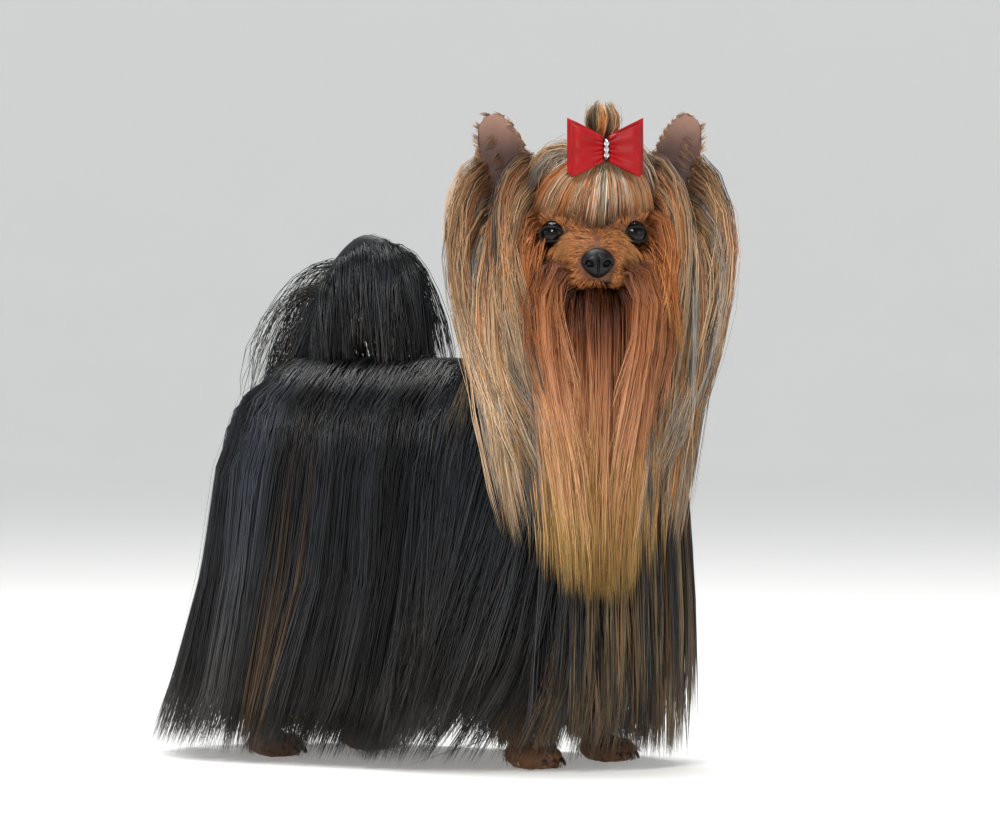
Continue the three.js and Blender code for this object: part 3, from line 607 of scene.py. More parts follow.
remesh = skin.modifiers.new("fuse", "REMESH")
remesh.mode, remesh.voxel_size, remesh.use_smooth_shade = "VOXEL", 1.25 * MM, True
smooth = skin.modifiers.new("smooth", "SMOOTH")
smooth.factor, smooth.iterations = 0.5, 4
thin = skin.modifiers.new("thin", "DECIMATE")
thin.ratio = 0.42
settle_modifiers(skin)


def points_of(piece):
    """A piece's points in millimetres of the animal's frame, and its triangles."""
    mesh = piece.data
    points = np.zeros(len(mesh.vertices) * 3, np.float32)
    mesh.vertices.foreach_get("co", points)
    mesh.calc_loop_triangles()
    triangles = np.zeros(len(mesh.loop_triangles) * 3, np.int32)
    mesh.loop_triangles.foreach_get("vertices", triangles)
    return points.reshape(-1, 3).astype(float) / MM - SHIFT, triangles.reshape(-1, 3)


def gaze_frame(side):
    """The eye's own directions: where it looks, across it and up."""
    look = unit(head_way(0.93, side * 0.37, 0.02))
    across = unit(np.cross(UP, look))
    return look, across, np.cross(look, across)


def eye_centre(side):
    """The middle of an eyeball."""
    return on_head(EYE["ahead"], side * EYE["aside"], EYE["up"])


def on_ball(side, radius, polar, turn):
    """From the middle of the eye: radius x cosine of polar along the gaze, and x its sine round it by turn."""
    look, across, over = gaze_frame(side)
    parts = np.cos(polar), np.sin(polar) * np.cos(turn), np.sin(polar) * np.sin(turn)
    return sum(way * (radius * part)[..., None] for way, part in zip((look, across, over), parts))


def almond(turn):
    """Edge of the eye's opening as an angle from the gaze: 46 degrees to the corners, and less above and below."""
    return np.radians(46 - 23 * np.abs(np.sin(turn)) ** 1.2)


points, triangles = points_of(skin)
for side in SIDES:
    away = points - eye_centre(side)
    distance = np.linalg.norm(away, axis=1)
    look, across, over = gaze_frame(side)
    polar = np.arccos(np.clip(away @ look / np.maximum(distance, 1e-6), -1, 1))
    edge = almond(np.arctan2(away @ over, away @ across))
    wanted = EYE["radius"] + 1.2 - 3.4 * ease(edge + math.radians(11), edge + math.radians(1), polar)
    near = (polar < 1.45) & (distance > wanted) & (distance < 16)
    pulled = np.where(near, ease(1.45, 1.1, polar), 0.0)
    points += away * (pulled * (wanted / np.maximum(distance, 1e-6) - 1))[:, None]
skin.data.vertices.foreach_set("co", ((points + SHIFT) * MM).astype(np.float32).ravel())
skin.data.update()
print("the skin has", len(points), "points and", len(triangles), "triangles")

# %% [markdown]
# ## Unwrap and markings
# The skin is unwrapped once. Every strand of hair later takes a tiny patch of that unwrap, at the place of its root,
# so that a baked picture keeps one spot for each. The markings are a formula of place, for skin and coat alike.

# %% Unwrap


bpy.context.view_layer.objects.active = skin
skin.select_set(True)
bpy.ops.object.mode_set(mode="EDIT")
bpy.ops.mesh.select_all(action="SELECT")
bpy.ops.uv.smart_project(angle_limit=math.radians(66), island_margin=0.002)
bpy.ops.object.mode_set(mode="OBJECT")
skin.data.uv_layers[0].name = "OFBake"
loop_uv = np.zeros(len(skin.data.loops) * 2, np.float32)
skin.data.uv_layers[0].data.foreach_get("uv", loop_uv)
loop_points = np.zeros(len(skin.data.loops), np.int32)
skin.data.loops.foreach_get("vertex_index", loop_points)
point_uv = np.zeros((len(points), 2))
point_uv[loop_points] = loop_uv.reshape(-1, 2)
skin_tree = KDTree(len(points))
for number, point in enumerate(points.tolist()):
    skin_tree.insert(point, number)
skin_tree.balance()
print("unwrapped into", skin.data.uv_layers[0].name)


def root_uv(roots):
    """The place of each root on the skin's unwrap: that of the nearest point of the skin."""
    return point_uv[[skin_tree.find(root)[1] for root in roots.tolist()]]


# %% [markdown]
# ## Strands
# A strand is a tube of three sides along a path, a little flat, that tapers to a point. Hair lies in locks, so a lock
# is worked out first, as a guide, and its strands spread round the guide at its root and draw together at its tip. A
# few thin stray hairs leave their locks, because a coat whose every hair keeps its place looks like plastic.

# %% Strand meshes
SEED = 7
# Locks of each region: on one side for the body and its veil, for one leg, and in all elsewhere.
LOCKS = {"body": 520, "veil": 110, "mane": 410, "forelock": 180, "beside": 60, "back": 44, "tuft": 70}
LOCKS |= {"wisps": 64, "leg": 46, "face": 2200, "ears": 1400, "paws": 500}
PATCH = 0.003  # size of a strand's place on the unwrap
rng = np.random.default_rng(SEED)
LOW = (cad_box[0] - ROOM) / MM - SHIFT
HIGH = (cad_box[1] + ROOM) / MM - SHIFT
LOW[2] = 0.8


def times(count):
    """Shares of the length where a strand has its points: closer together near its root, and the last one close to
    the one before it, so that a long strand keeps its width almost to the tip."""
    if count < 6:
        return (np.arange(count) / (count - 1)) ** 1.35
    return np.append(0.88 * (np.arange(count - 1) / (count - 2)) ** 1.25, 1.0)


def spread(guides, outs, per, width, lift=1.5, pinch=0.6, shorten=0.12, wave=1.2):
    """Strands round guides: guide + across x offset x (1 - pinch s) + over x offset, with a slow sideways wave that
    grows towards the tip. A strand may stop short of its guide's tip."""
    count = guides.shape[1]
    total = len(guides) * per
    own = np.repeat(np.arange(len(guides)), per)
    s = times(count)
    place = s[None, :] * (1 - shorten * rng.random(total) ** 2)[:, None]
    at = np.clip(np.interp(place, s, np.arange(count)), 0, count - 1.001)
    i = at.astype(int)
    x = (at - i)[..., None]
    guide = guides[own]
    rows = np.arange(total)[:, None]
    path = guide[rows, i] * (1 - x) + guide[rows, i + 1] * x
    ahead = unit(np.gradient(path, axis=1))
    out = outs[own][:, None, :] if outs.ndim == 2 else outs[own]
    over = unit(out - np.sum(out * ahead, -1, keepdims=True) * ahead)
    across = np.cross(over, ahead)
    narrow = 1 - pinch * s**1.2
    sway = wave * s * np.sin(FULL_TURN * (rng.uniform(0.4, 1.25, (total, 1)) * s + rng.random((total, 1))))
    aside = rng.uniform(-1, 1, (total, 1)) * width * narrow + sway
    high = rng.uniform(-1, 1, (total, 1)) * lift * narrow
    return path + across * aside[..., None] + over * high[..., None], over, own


def strand_arrays(paths, over, width, flat=0.55, blunt=0.2):
    """Points and triangles of the tubes. Its half width is full until the last third and then shrinks to nothing."""
    total, count, _ = paths.shape
    s = times(count)
    ahead = unit(np.gradient(paths, axis=1))
    across = unit(np.cross(over, ahead))
    top = np.cross(ahead, across)
    open_ = (0.5 + 0.5 * ease(0, 0.12, s)) * (1 - ease(1 - blunt, 1.12, s) * 0.9)
    half = 0.5 * width[:, None] * open_
    angles = np.radians([90, 210, 330])
    ring = (
        across[..., None, :] * (half[..., None] * np.cos(angles))[..., None]
        + top[..., None, :] * (half[..., None] * flat * np.sin(angles))[..., None]
    )
    ring = (paths[:, :, None, :] + ring)[:, : count - 1]
    size = 3 * (count - 1) + 1
    points = np.concatenate([ring.reshape(total, -1, 3), paths[:, -1:, :]], 1)
    k, c = (grid.ravel() for grid in np.meshgrid(np.arange(count - 2), np.arange(3), indexing="ij"))
    n = (c + 1) % 3
    walls = np.stack([3 * k + c, 3 * k + n, 3 * k + 3 + n, 3 * k + c, 3 * k + 3 + n, 3 * k + 3 + c], -1)
    last = 3 * (count - 2)
    tips = np.array([[last, last + 1, size - 1], [last + 1, last + 2, size - 1], [last + 2, last, size - 1]])
    one = np.concatenate([walls.reshape(-1, 3), tips, [[2, 1, 0]]])
    faces = (one[None] + size * np.arange(total)[:, None, None]).reshape(-1, 3)
    along = np.concatenate([np.repeat(s[:-1], 3), [1.0]])
    corner = np.concatenate([np.tile([0.0, -1.0, 1.0], count - 1), [0.0]])
    return np.clip(points.reshape(-1, 3), LOW, HIGH), faces, along, corner


def coat_piece(name, batches, finish):
    """One object of the coat from batches of strands, each with its paths, upper sides, widths and colours."""
    bodies, colour, along_all, lie, bake = [], [], [], [], []
    for paths, over, width, tint, flat in batches:
        points, faces, along, corner = strand_arrays(paths, over, width, flat)
        total, size = len(paths), len(along)
        bodies.append((points, faces))
        shades = tint if tint.ndim == 3 else np.repeat(tint[:, None], paths.shape[1], 1)
        shades = np.concatenate([np.repeat(shades[:, :-1], 3, 1), shades[:, -1:]], 1)
        colour.append(shades.reshape(-1, 3))
        along_all.append(np.tile(along, total))
        length = np.linalg.norm(np.diff(paths, axis=1), axis=-1).sum(1)
        lie_u = (width[:, None] * corner[None] / 2 + 40 * rng.random((total, 1))).ravel()
        lie.append(np.stack([lie_u, (length[:, None] * along[None]).ravel()], -1))
        patch = PATCH * np.stack([0.5 * corner, along - 0.5], -1)
        home = np.clip(root_uv(paths[:, 0]), 0.002, 0.998)
        bake.append((home[:, None] + patch[None]).reshape(-1, 2))
    points, faces = merged(bodies)
    piece = new_piece(name, points, faces)
    give(piece, "hair", np.concatenate(colour))
    give(piece, "along", np.concatenate(along_all))
    give_map(piece, "OFBake", np.concatenate(bake), faces)
    give_map(piece, "Lie", np.concatenate(lie), faces)
    piece.data.materials.append(HAIR_FINISH[finish])
    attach(piece, "root")
    print(f"{name}: {sum(len(b[0]) for b in batches)} strands, {len(faces)} triangles")
    return piece


def locks(guides, outs, region, per, width, fine=0.9, light=(0.3, 0.25, 0.3), stray=4, **shape):
    """Batches for one region: the fine strands round each guide, and beside every few guides a thin stray hair that
    leaves its lock. light is the mean share of the light ramp, and how far it varies from lock to lock and from
    strand to strand."""
    mean, by_lock, by_strand = light
    s = times(guides.shape[1])
    mean = np.broadcast_to(mean, len(guides)).astype(float)
    lock_light = mean + by_lock * rng.normal(size=len(guides))
    regions = [region] * len(guides) if isinstance(region, str) else region
    strands, over, own = spread(guides, outs, per, width, **shape)

    def tints(lock_of, lightness):
        """Each strand's colour from root to tip, in the region of its lock."""
        t = np.repeat(s[None], len(lock_of), 0)
        made = np.zeros((*t.shape, 3))
        names = np.array(regions)[lock_of]
        for name in sorted(set(regions)):
            mask = names == name
            made[mask] = ramp_colour(name, t[mask], np.repeat(lightness[mask, None], len(s), 1))
        return made

    own_light = np.clip(lock_light[own] + by_strand * rng.normal(size=len(own)), 0, 1.15)
    widths = fine * rng.uniform(0.6, 1.25, len(own))
    batches = [(strands, over, widths, tints(own, own_light), 0.55)]
    if stray:
        chosen = np.arange(0, len(guides), stray)
        loose, over, own = spread(guides[chosen], outs[chosen], 1, 1.5 * width, lift=1.0 * width, pinch=-0.4, wave=4.0)
        lightness = np.clip(lock_light[chosen] + 0.15, 0, 1)
        batches.append((loose, over, np.full(len(own), 0.3), tints(chosen, lightness), 0.6))
    return batches


# %% [markdown]
# ## The body coat
# The outer hair grows beside the parting and hides what grows lower, so locks that start lower lie deeper. Each lock
# keeps its place round the bell with a small wave of its own. Wide dark strips near the skin close the gaps.

# %% Body coat


def flow(p, side, fall):
    """How far the lie of the coat bends round the body: slow waves that all locks share, and behind the shoulder a
    sweep to the rear that grows with the square of the depth below the ribs."""
    slow = 0.016 * np.sin(FULL_TURN * (2.6 * p + 0.5 * fall + 0.3 * side))
    quick = 0.008 * np.sin(FULL_TURN * (6.3 * p - 0.55 * fall + 0.6 * side))
    waves = (slow + quick) * ease(0.5, 1.9, fall)
    sweep = 0.1 * np.exp(-(((p - 0.24) / 0.13) ** 2)) * ease(1.1, 2.1, fall)
    return waves + sweep


def body_guides(side, count, points=7):
    """Guides down the bell: p is spread evenly with jitter, fall runs from the root to the hem, and layer rises from
    the skin to a depth that falls with the height of the root."""
    p = (np.arange(count) + rng.uniform(0, 1, count)) / count
    root = np.abs(rng.normal(0, 1, count)) * 0.28
    root = np.where(rng.random(count) < 0.25, rng.uniform(0.4, 1.2, count), root)
    end = 1.98 + 0.02 * rng.random(count)
    layer = np.clip(1.0 - 0.42 * np.clip(root - 0.15, 0, 1) + 0.04 * rng.normal(size=count), 0.5, 1.04)
    t = times(points)[None, :]
    wave = rng.normal(0, 0.011, (count, 1)) * t * np.sin(FULL_TURN * (rng.uniform(0.4, 1.1, (count, 1)) * t))
    lift = 1 - np.exp(-8 * t)
    fall = root[:, None] + (end - root)[:, None] * t
    path_p = np.clip(p[:, None] + wave + flow(p[:, None], side, fall), 0, 1)
    depth = CORE_LAYER * 0.9 + (layer[:, None] - CORE_LAYER * 0.9) * lift
    paths = on_bell(path_p, side, fall, depth, -1.2 * rng.random((count, 1)) * lift)
    return paths, stand(path_p, side)[1] + 0.6 * UP * np.exp(-4 * t)[..., None], p


def veil(side, count=LOCKS["veil"], points=5):
    """Wide dark strips close to the skin and below it, which let no light through between the locks."""
    p = ((np.arange(count) + 0.5) / count)[:, None] + np.zeros((1, points))
    fall = 0.8 + 1.08 * times(points)[None, :] * rng.uniform(0.93, 1.0, (count, 1))
    layer = 0.42 + 0.16 * rng.random((count, 1)) + 0 * fall
    tint = np.repeat(paint("08080a")[None], count, 0)
    return on_bell(p, side, fall, layer), stand(p, side)[1], np.full(count, 8.0), tint, 0.12


for side, word in WORDS.items():
    guides, outs, p = body_guides(side, LOCKS["body"])
    colours = np.where(p < 0.13, rng.choice(["grizzle", "leg", "steel"], len(p), p=[0.5, 0.2, 0.3]), "steel")
    colours = np.where((np.abs(p - 0.68) < 0.035) & (rng.random(len(p)) < 0.6), "hind", colours)
    # Painted sheen: in a few bands round the bell the locks take far more of the pale ramp, for silvery highlight
    # streaks down the flank.
    painted_sheen_bands = np.clip(np.sin(FULL_TURN * 4.3 * p + side) * np.sin(FULL_TURN * 2.7 * p + 1), 0, 1)
    light = (0.06 + 0.65 * painted_sheen_bands, 0.15, 0.08)
    batches = locks(guides, outs, list(colours), 8, 4.2, 0.62, light, lift=1.0, pinch=0.45, wave=1.3, shorten=0.04)
    coat_piece("coat_body_" + word, [*batches, veil(side)], "steel")

# %% [markdown]
# ## Hair that hangs from the neck and head
# A hair leaves its root along one direction, loses that way within a distance, its reach, and then hangs. This is one
# formula for the mane, the beard and the ears, and only the roots, directions and lengths differ.

# %% Hanging hair


def hang(root, way, reach, length, drift=0.0, sunk=3.0, margin=0.0, push=None, points=8, early=False, sway=2.0):
    """Point at t: root - sunk x way + way x gone - up x (t x length - gone) + drift x t^2, where gone is
    reach x (1 - exp(-t x length / reach)), then moved clear of the bell. An early drift eases in instead, and sway is
    the size in millimetres of a slow wave that grows with t."""
    t = times(points)[None, :, None]
    reach, length = (np.asarray(v, float).reshape(-1, 1, 1) for v in (reach, length))
    way = unit(way)[:, None, :]
    gone = reach * (1 - np.exp(-t * length / reach))
    path = root[:, None, :] - sunk * way + way * gone - UP * (t * length - gone)
    path = path + drift * (ease(0.05, 0.95, t) if early else t**2)
    turns = rng.uniform(0.5, 1.2, (2, len(root), 1)) * t[None, :, :, 0] + rng.random((2, len(root), 1))
    waves = rng.normal(0, sway, (2, len(root), 1)) * t[None, :, :, 0] * np.sin(FULL_TURN * turns)
    path[..., :2] += np.moveaxis(waves, 0, -1)
    if push is not None:
        push = push[:, None, :] if push.ndim == 2 else push
    clear = drape(path, np.asarray(margin, float).reshape(-1, 1), push)
    blend = ease(0.03, 0.16, t) if np.any(np.asarray(margin) > 0) else 0.0
    return path + (clear - path) * blend


def jitter(count, *sizes):
    """Normal noise, one column for each size."""
    return np.stack([rng.normal(0, size, count) for size in sizes], -1)


# %% Mane
count = LOCKS["mane"]
bearing = np.radians(rng.uniform(4, 181, count)) * both_sides(count)
out = compass(bearing)
level = rng.uniform(0.2, 0.95, count)
root = NECK_FOOT + level[:, None] * (NECK_TOP - NECK_FOOT) + out * (NECK_HALF - 2)
way = unit(out - 0.3 * UP) + jitter(count, 0.1, 0.1, 0.05)
length = 208 - 30 * (0.75 - level) + rng.normal(0, 12, count)
back = np.stack([-34 * np.sin(bearing) ** 2 * ease(0, 0.6, np.abs(bearing)), 0 * bearing, 0 * bearing], -1)
margin = 8.5 - 7 * rng.random(count)
guides = hang(root, way, 16 + rng.normal(0, 3, count), length, back[:, None], margin=margin, points=7)
front = np.abs(np.degrees(bearing)) + rng.normal(0, 8, count)
region = np.where(front < 50, rng.choice(["grizzle", "leg", "steel"], count, p=[0.5, 0.25, 0.25]), "steel")
batches = locks(guides, out, list(region), 7, 4.4, 0.65, (0.2, 0.16, 0.12), pinch=0.6, wave=1.4, shorten=0.06)
coat_piece("coat_mane", batches, "steel")

# %% Moustache, cheeks and beard
# Each row: locks a side, first and last root, direction, the reach and the share that the tips draw in at both roots,
# length, colours and light.
FACE_ROWS = [
    (86, (46, 12, -19), (22, 22, -18), (0.2, 0.98, -0.06), (24, 15), (0.8, 0.45), 190, "beard", 0.62),
    (68, (16, 27, -14), (-10, 33, -6), (0.3, 0.9, -0.05), (21, 19), (0.55, 0.5), 200, "beard", 0.6),
    # The next two rows hang from the chin and lips; the near-black roots of their ramp are painted shade under the
    # muzzle.
    (54, (46, -4, -30), (32, 13, -34), (0.9, 0.16, -0.3), (14, 14), (0.15, 0.1), 176, "soot", 0.5),
    (30, (44, 10, -26), (24, 21, -26), (0.3, 0.9, -0.35), (17, 12), (0.45, 0.35), 165, "soot", 0.4),
    (26, (20, 29, -10), (8, 33, 0), (0.4, 0.9, -0.3), (13, 13), (0.0, 0.0), 70, "tan", 0.5),
    (46, (18, 30, 8), (4, 34, 1), (0.25, 0.95, -0.05), (20, 16), (0.5, 0.45), 180, "tan", 0.55),
    (38, (2, 33, 14), (-14, 34, 4), (0.2, 0.85, 0.1), (22, 18), (0.4, 0.35), 195, "slate", 0.25),
    (34, (-10, 32, 12), (-37, 1, 17), (-0.8, 0.4, 0.2), (11, 11), (0.0, 0.0), 125, "grizzle", 0.45),
    (34, (-18, 30, -5), (-38, 1, 3), (-0.8, 0.4, 0.1), (11, 11), (0.0, 0.0), 120, "grizzle", 0.3),
]


def face_guides(rows):
    """Guides of each row on both sides: a root between the row's ends, with jitter in every number."""
    made = []
    for count, first, last, way, reach, narrow, length, region, light in rows:
        side = both_sides(2 * count)
        share = rng.random(2 * count)
        root = np.array(first) + share[:, None] * (np.array(last) - first) + jitter(2 * count, 1.5, 2.2, 2.5)
        ahead = np.array(way) + jitter(2 * count, 0.1, 0.1, 0.12)
        reach = np.interp(share, (0, 1), reach) + rng.normal(0, 3.5, 2 * count)
        narrow = np.interp(share, (0, 1), narrow) + rng.normal(0, 0.1, 2 * count)
        inwards = -side * narrow * (root[:, 1] + reach)
        guides = hang(
            on_head(root[:, 0], side * root[:, 1], root[:, 2]),
            head_way(ahead[:, 0], side * ahead[:, 1], ahead[:, 2]),
            reach,
            length * (1 - 0.35 * rng.random(2 * count) ** 2),
            head_way(0, inwards, 0)[:, None, :],
            early=True,
            margin=16.5 - 5 * rng.random(2 * count),
            push=np.repeat(head_way(1, 0, 0)[None], 2 * count, 0) if way[0] > 0 else None,
        )
        outs = unit(head_way(way[0] + 0.4, side * way[1], 0 * side))
        made.append((guides, outs, [region] * 2 * count, np.full(2 * count, light)))
    guides, outs, regions, lights = zip(*made)
    return np.concatenate(guides), np.concatenate(outs), sum(regions, []), np.concatenate(lights)


guides, outs, regions, lights = face_guides(FACE_ROWS)
regions = np.array(regions)
for name, group in (("coat_beard", (regions == "beard") | (regions == "soot")), ("coat_cheeks", None)):
    group = ~((regions == "beard") | (regions == "soot")) if group is None else group
    chosen = guides[group], outs[group], list(regions[group])
    batches = locks(*chosen, 10, 3.6, 0.5, (lights[group], 0.2, 0.14), pinch=0.5, wave=1.6)
    coat_piece(name, batches, "face" if name == "coat_beard" else "pale")

# %% Ear fringes
# Each row: locks, edge, lowest and highest root, direction, reach, length, how far the tips move inwards.
EAR_ROWS = [
    (84, 0.98, 0.0, 0.66, (0.15, 0.8, -0.3), 44, 172, 42),
    (44, 0.6, 0.0, 0.1, (0.4, 0.85, -0.1), 34, 205, 20),
    (36, 0.3, 0.1, 0.8, (-0.5, 0.75, -0.1), 32, 165, 30),
    (36, -0.9, 0.0, 0.2, (0.15, 1.0, 0.05), 44, 165, 16),
    (26, -0.95, 0.15, 0.5, (0.3, 0.9, -0.1), 40, 150, 20),
]


def ear_guides(side):
    """Guides from the outer edge, the front and the back of an ear."""
    made = []
    for count, edge, low, high, way, reach, length, inwards in EAR_ROWS:
        level = rng.uniform(low, high, count)
        root = on_ear(side, level, -side * (edge + rng.normal(0, 0.04, count)), 0 * level)
        ahead = np.array(way) + jitter(count, 0.1, 0.1, 0.1)
        guides = hang(
            root,
            head_way(ahead[:, 0], side * ahead[:, 1], ahead[:, 2] - 0.35 * level),
            reach * (1.05 - 0.5 * level) * rng.uniform(0.72, 1.1, count),
            length * (1 - 0.3 * rng.random(count) ** 2),
            head_way(0, -side * inwards, 0),
            sunk=1.5,
            margin=(22 if way[0] > 0 else 6) - 5 * rng.random(count),
            push=np.repeat(head_way(1, 0, 0)[None], count, 0) if way[0] > 0 else None,
        )
        made.append((guides, np.repeat(unit(head_way(way[0] + 0.7, side * way[1], 0))[None], count, 0)))
    guides, outs = zip(*made)
    return np.concatenate(guides), np.concatenate(outs)


for side, word in WORDS.items():
    guides, outs = ear_guides(side)
    region = rng.choice(["slate", "tan", "ash"], len(guides), p=[0.2, 0.16, 0.64])
    batches = locks(guides, outs, list(region), 10, 3.4, 0.5, (0.5, 0.25, 0.15), pinch=0.5, wave=1.6)
    coat_piece("coat_ear_" + word, batches, "pale")

# %% Crown and forelock


def brow(aside):
    """Height of the brow line: low between the eyes, over the eyes at 16 mm aside, and lower again beside them."""
    aside = np.abs(aside)
    return np.where(aside < 16, 0.5 + 0.55 * aside, 9.3 - 0.25 * (aside - 16))


def arch(foot, crest, tie, points=7):
    """Hair combed up: foot (1 - t)^2 + crest 2t (1 - t) + tie t^2."""
    t = times(points)[None, :, None]
    return foot[:, None] * (1 - t) ** 2 + crest[:, None] * 2 * t * (1 - t) + tie[:, None] * t**2


count = LOCKS["forelock"]
aside = rng.uniform(-33, 33, count)
up = brow(aside) + rng.normal(0, 1.5, count)
ahead = -4 + 38 * np.sqrt(1 - (aside / 35) ** 2 - (up / 28) ** 2)
tie = on_head(TIE["ahead"] + 2 + 0 * aside, TIE["aside"] + 0.2 * aside, TIE["up"] - 2)
crest = on_head(
    29 - 9 * (aside / 32) ** 2 + rng.normal(0, 1.2, count),
    0.9 * aside + 0.5 * TIE["aside"],
    26 + 8 * (aside / 32) ** 2 + rng.normal(0, 1.5, count),
)
forelock = arch(on_head(ahead, aside, up), crest, tie)
forelock_out = unit(head_way(0.8 + 0 * aside, aside / 32, 0.6))
middle = np.exp(-(((aside - 2) / 13) ** 2))
region = np.where(rng.random(count) < 0.1 + 0.8 * middle, "cream", rng.choice(["tan", "ash"], count, p=[0.65, 0.35]))
region = np.where(rng.random(count) < 0.16 * middle, "slate", region)
batches = locks(
    forelock, forelock_out, list(region), 10, 2.4, 0.44, (0.55, 0.3, 0.15), pinch=0.1, wave=0.6, shorten=0.0
)

count = LOCKS["beside"]
side = both_sides(count)
spot = rng.random((3, count))
foot = on_head(-8 + 18 * spot[0], side * (26 + 9 * spot[1]), 12 + 14 * spot[2])
crest = on_head(10 + 6 * spot[0], side * (24 + 6 * spot[1]), 46 + 11 * spot[2])
beside = arch(foot, crest, on_head(TIE["ahead"] + 0 * side, TIE["aside"] + 3 * side, TIE["up"] - 1))
outs = unit(head_way(0.8 + 0 * side, 0.5 * side, 0.7))
region = rng.choice(["slate", "cream", "ash"], count, p=[0.3, 0.35, 0.35])
batches += locks(beside, outs, list(region), 10, 3.0, 0.42, (0.5, 0.2, 0.25), pinch=0.3, wave=1.2, shorten=0.0)

count = LOCKS["back"]
bearing = rng.uniform(2.0, 4.3, count)
foot = on_head(-4 + 36 * np.cos(bearing), 31 * np.sin(bearing), 6 + 4 * np.cos(bearing) + rng.normal(0, 3, count))
crest = on_head(3 + 22 * np.cos(bearing), 32 * np.sin(bearing) + TIE["aside"], 36 + 8 * np.abs(np.sin(bearing)))
back = arch(foot, crest, on_head(TIE["ahead"] - 3 + 0 * bearing, TIE["aside"], TIE["up"]))
outs = unit(head_way(np.cos(bearing), np.sin(bearing), 0.6))
batches += locks(back, outs, "ash", 9, 3.8, 0.55, (0.35, 0.2, 0.2), pinch=0.4, wave=1.0, shorten=0.0)

# %% Topknot tuft
count = LOCKS["tuft"]
bearing = rng.uniform(0, FULL_TURN, count)
out = head_way(np.cos(bearing), np.sin(bearing), 0.0)
root = on_head(TIE["ahead"] - 3 + 0 * bearing, TIE["aside"], TIE["up"] + 3) + out * 3.5
knot = on_head(TIE["ahead"] - 3 + 0 * bearing, TIE["aside"], TIE["up"] + 18)
turn = times(7)[None, :, None] * rng.uniform(0.55, 1.0, (count, 1, 1)) * math.pi
size = rng.uniform(0.55, 1.0, (count, 1, 1))
swirl = head_way(-np.sin(bearing), np.cos(bearing), 0.0)[:, None]
ball = 10 * size * np.sin(turn) * unit(out[:, None] + 0.9 * swirl * np.sin(turn)) - UP * 11.5 * size * np.cos(turn)
tuft = root[:, None] * (1 - ease(0, 0.4, turn)) + (knot[:, None] + ball) * ease(0, 0.4, turn)
region = rng.choice(["grizzle", "ash", "tan"], count, p=[0.35, 0.4, 0.25])
more = locks(tuft, out, list(region), 11, 1.8, 0.4, (0.4, 0.2, 0.25), stray=2, pinch=0.0, lift=0.8, wave=1.0)
topknot = coat_piece("coat_topknot", batches + more, "pale")
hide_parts("topknot")

# %% Tail plume


def tail_guides(count, share, aside, lift, reach, length, drift):
    """Guides that leave the tail bone along its own direction and to a side, and then hang."""
    side = both_sides(count)
    share = rng.uniform(*share, count)
    ahead = unit(curve_at(TAIL_PATH, share + 0.01) - curve_at(TAIL_PATH, share - 0.01))
    way = ahead + np.stack([0 * side, side * aside(share), np.full(count, lift)], -1) + jitter(count, 0.1, 0.15, 0.12)
    pull = np.stack([np.full(count, drift), side * 4, 0 * side], -1)[:, None, :]
    reach, length = reach + rng.normal(0, 3, count), length * (1 - 0.3 * rng.random(count) ** 2)
    guides = hang(curve_at(TAIL_PATH, share), way, reach, length, pull, points=8)
    return guides, unit(np.stack([0.4 + 0 * side, side, 0.3 + 0 * side], -1))


groups = [
    tail_guides(135, (0.3, 0.99), lambda share: 1.6 - 0.9 * share, 0.3, 29, 112, 8),
    tail_guides(60, (0.75, 1.0), lambda share: 0.3, 0.3, 26, 112, 4),
    tail_guides(72, (0.0, 0.55), lambda share: 0.8, 0.1, 24, 100, -26),
]
guides, outs = (np.concatenate(part) for part in zip(*groups))
batches = locks(guides, outs, "steel", 10, 3.6, 0.55, (0.14, 0.16, 0.1), pinch=0.45, wave=1.8, shorten=0.15)
count = LOCKS["wisps"]
share = rng.uniform(0.1, 0.6, count)
way = np.stack([-np.ones(count), rng.uniform(-0.6, 0.6, count), rng.uniform(0.1, 0.5, count)], -1)
wisps = hang(
    curve_at(TAIL_PATH, share), way, rng.uniform(26, 60, count), rng.uniform(90, 150, count), np.array([-6.0, 2, 0])
)
region = rng.choice(["steel", "slate"], count, p=[0.6, 0.4])
batches += locks(
    wisps, np.repeat([[-1.0, 0.2, 0]], count, 0), list(region), 7, 4.0, 0.45, (0.2, 0.2, 0.15), 2, pinch=0.3, wave=5.0
)
coat_piece("coat_tail", batches, "steel")

# %% Legs


def leg_guides(side, hip, knee, pastern, foot, count=LOCKS["leg"]):
    """Guides all round a leg, from the knee to the pastern, that fall to the floor round the paw."""
    out = compass(rng.uniform(0, FULL_TURN, count))
    share = rng.uniform(-0.1, 1, count)[:, None]
    knee, pastern = np.array(knee, float) * [1, side, 1], np.array(pastern, float) * [1, side, 1]
    root = knee + share * (pastern - knee) + out * 6
    length = root[:, 2] + 4
    drift = np.array([foot[0] - pastern[0], 0, 0])
    guides = hang(root, out, 14 + rng.normal(0, 2, count), length, drift, points=7)
    return guides, out


batches = []
for name, leg in LEGS.items():
    guides, outs = leg_guides(*leg)
    batches += locks(guides, outs, "leg", 10, 4.0, 0.6, (0.4, 0.2, 0.25), pinch=0.4)
coat_piece("coat_legs", batches, "face")

# %% [markdown]
# ## Short fur
# On the muzzle, round the eyes, on the ears and on the toes the hair is short and lies close. Its tufts are small and
# start at points picked at random on the skin itself.

# %% Short fur


def pick_roots(count, density):
    """Points of the skin at random, as many in an area as density says there, with the way that it looks."""
    corners = points[triangles]
    centre = corners.mean(1)
    normal = np.cross(corners[:, 1] - corners[:, 0], corners[:, 2] - corners[:, 0])
    weight = np.linalg.norm(normal, axis=1) * density(centre)
    chosen = rng.choice(len(triangles), count, p=weight / weight.sum())
    a, b = rng.random((2, count))
    a, b = np.where(a + b > 1, 1 - a, a), np.where(a + b > 1, 1 - b, b)
    place = corners[chosen]
    roots = place[:, 0] + a[:, None] * (place[:, 1] - place[:, 0]) + b[:, None] * (place[:, 2] - place[:, 0])
    return roots, unit(normal[chosen])


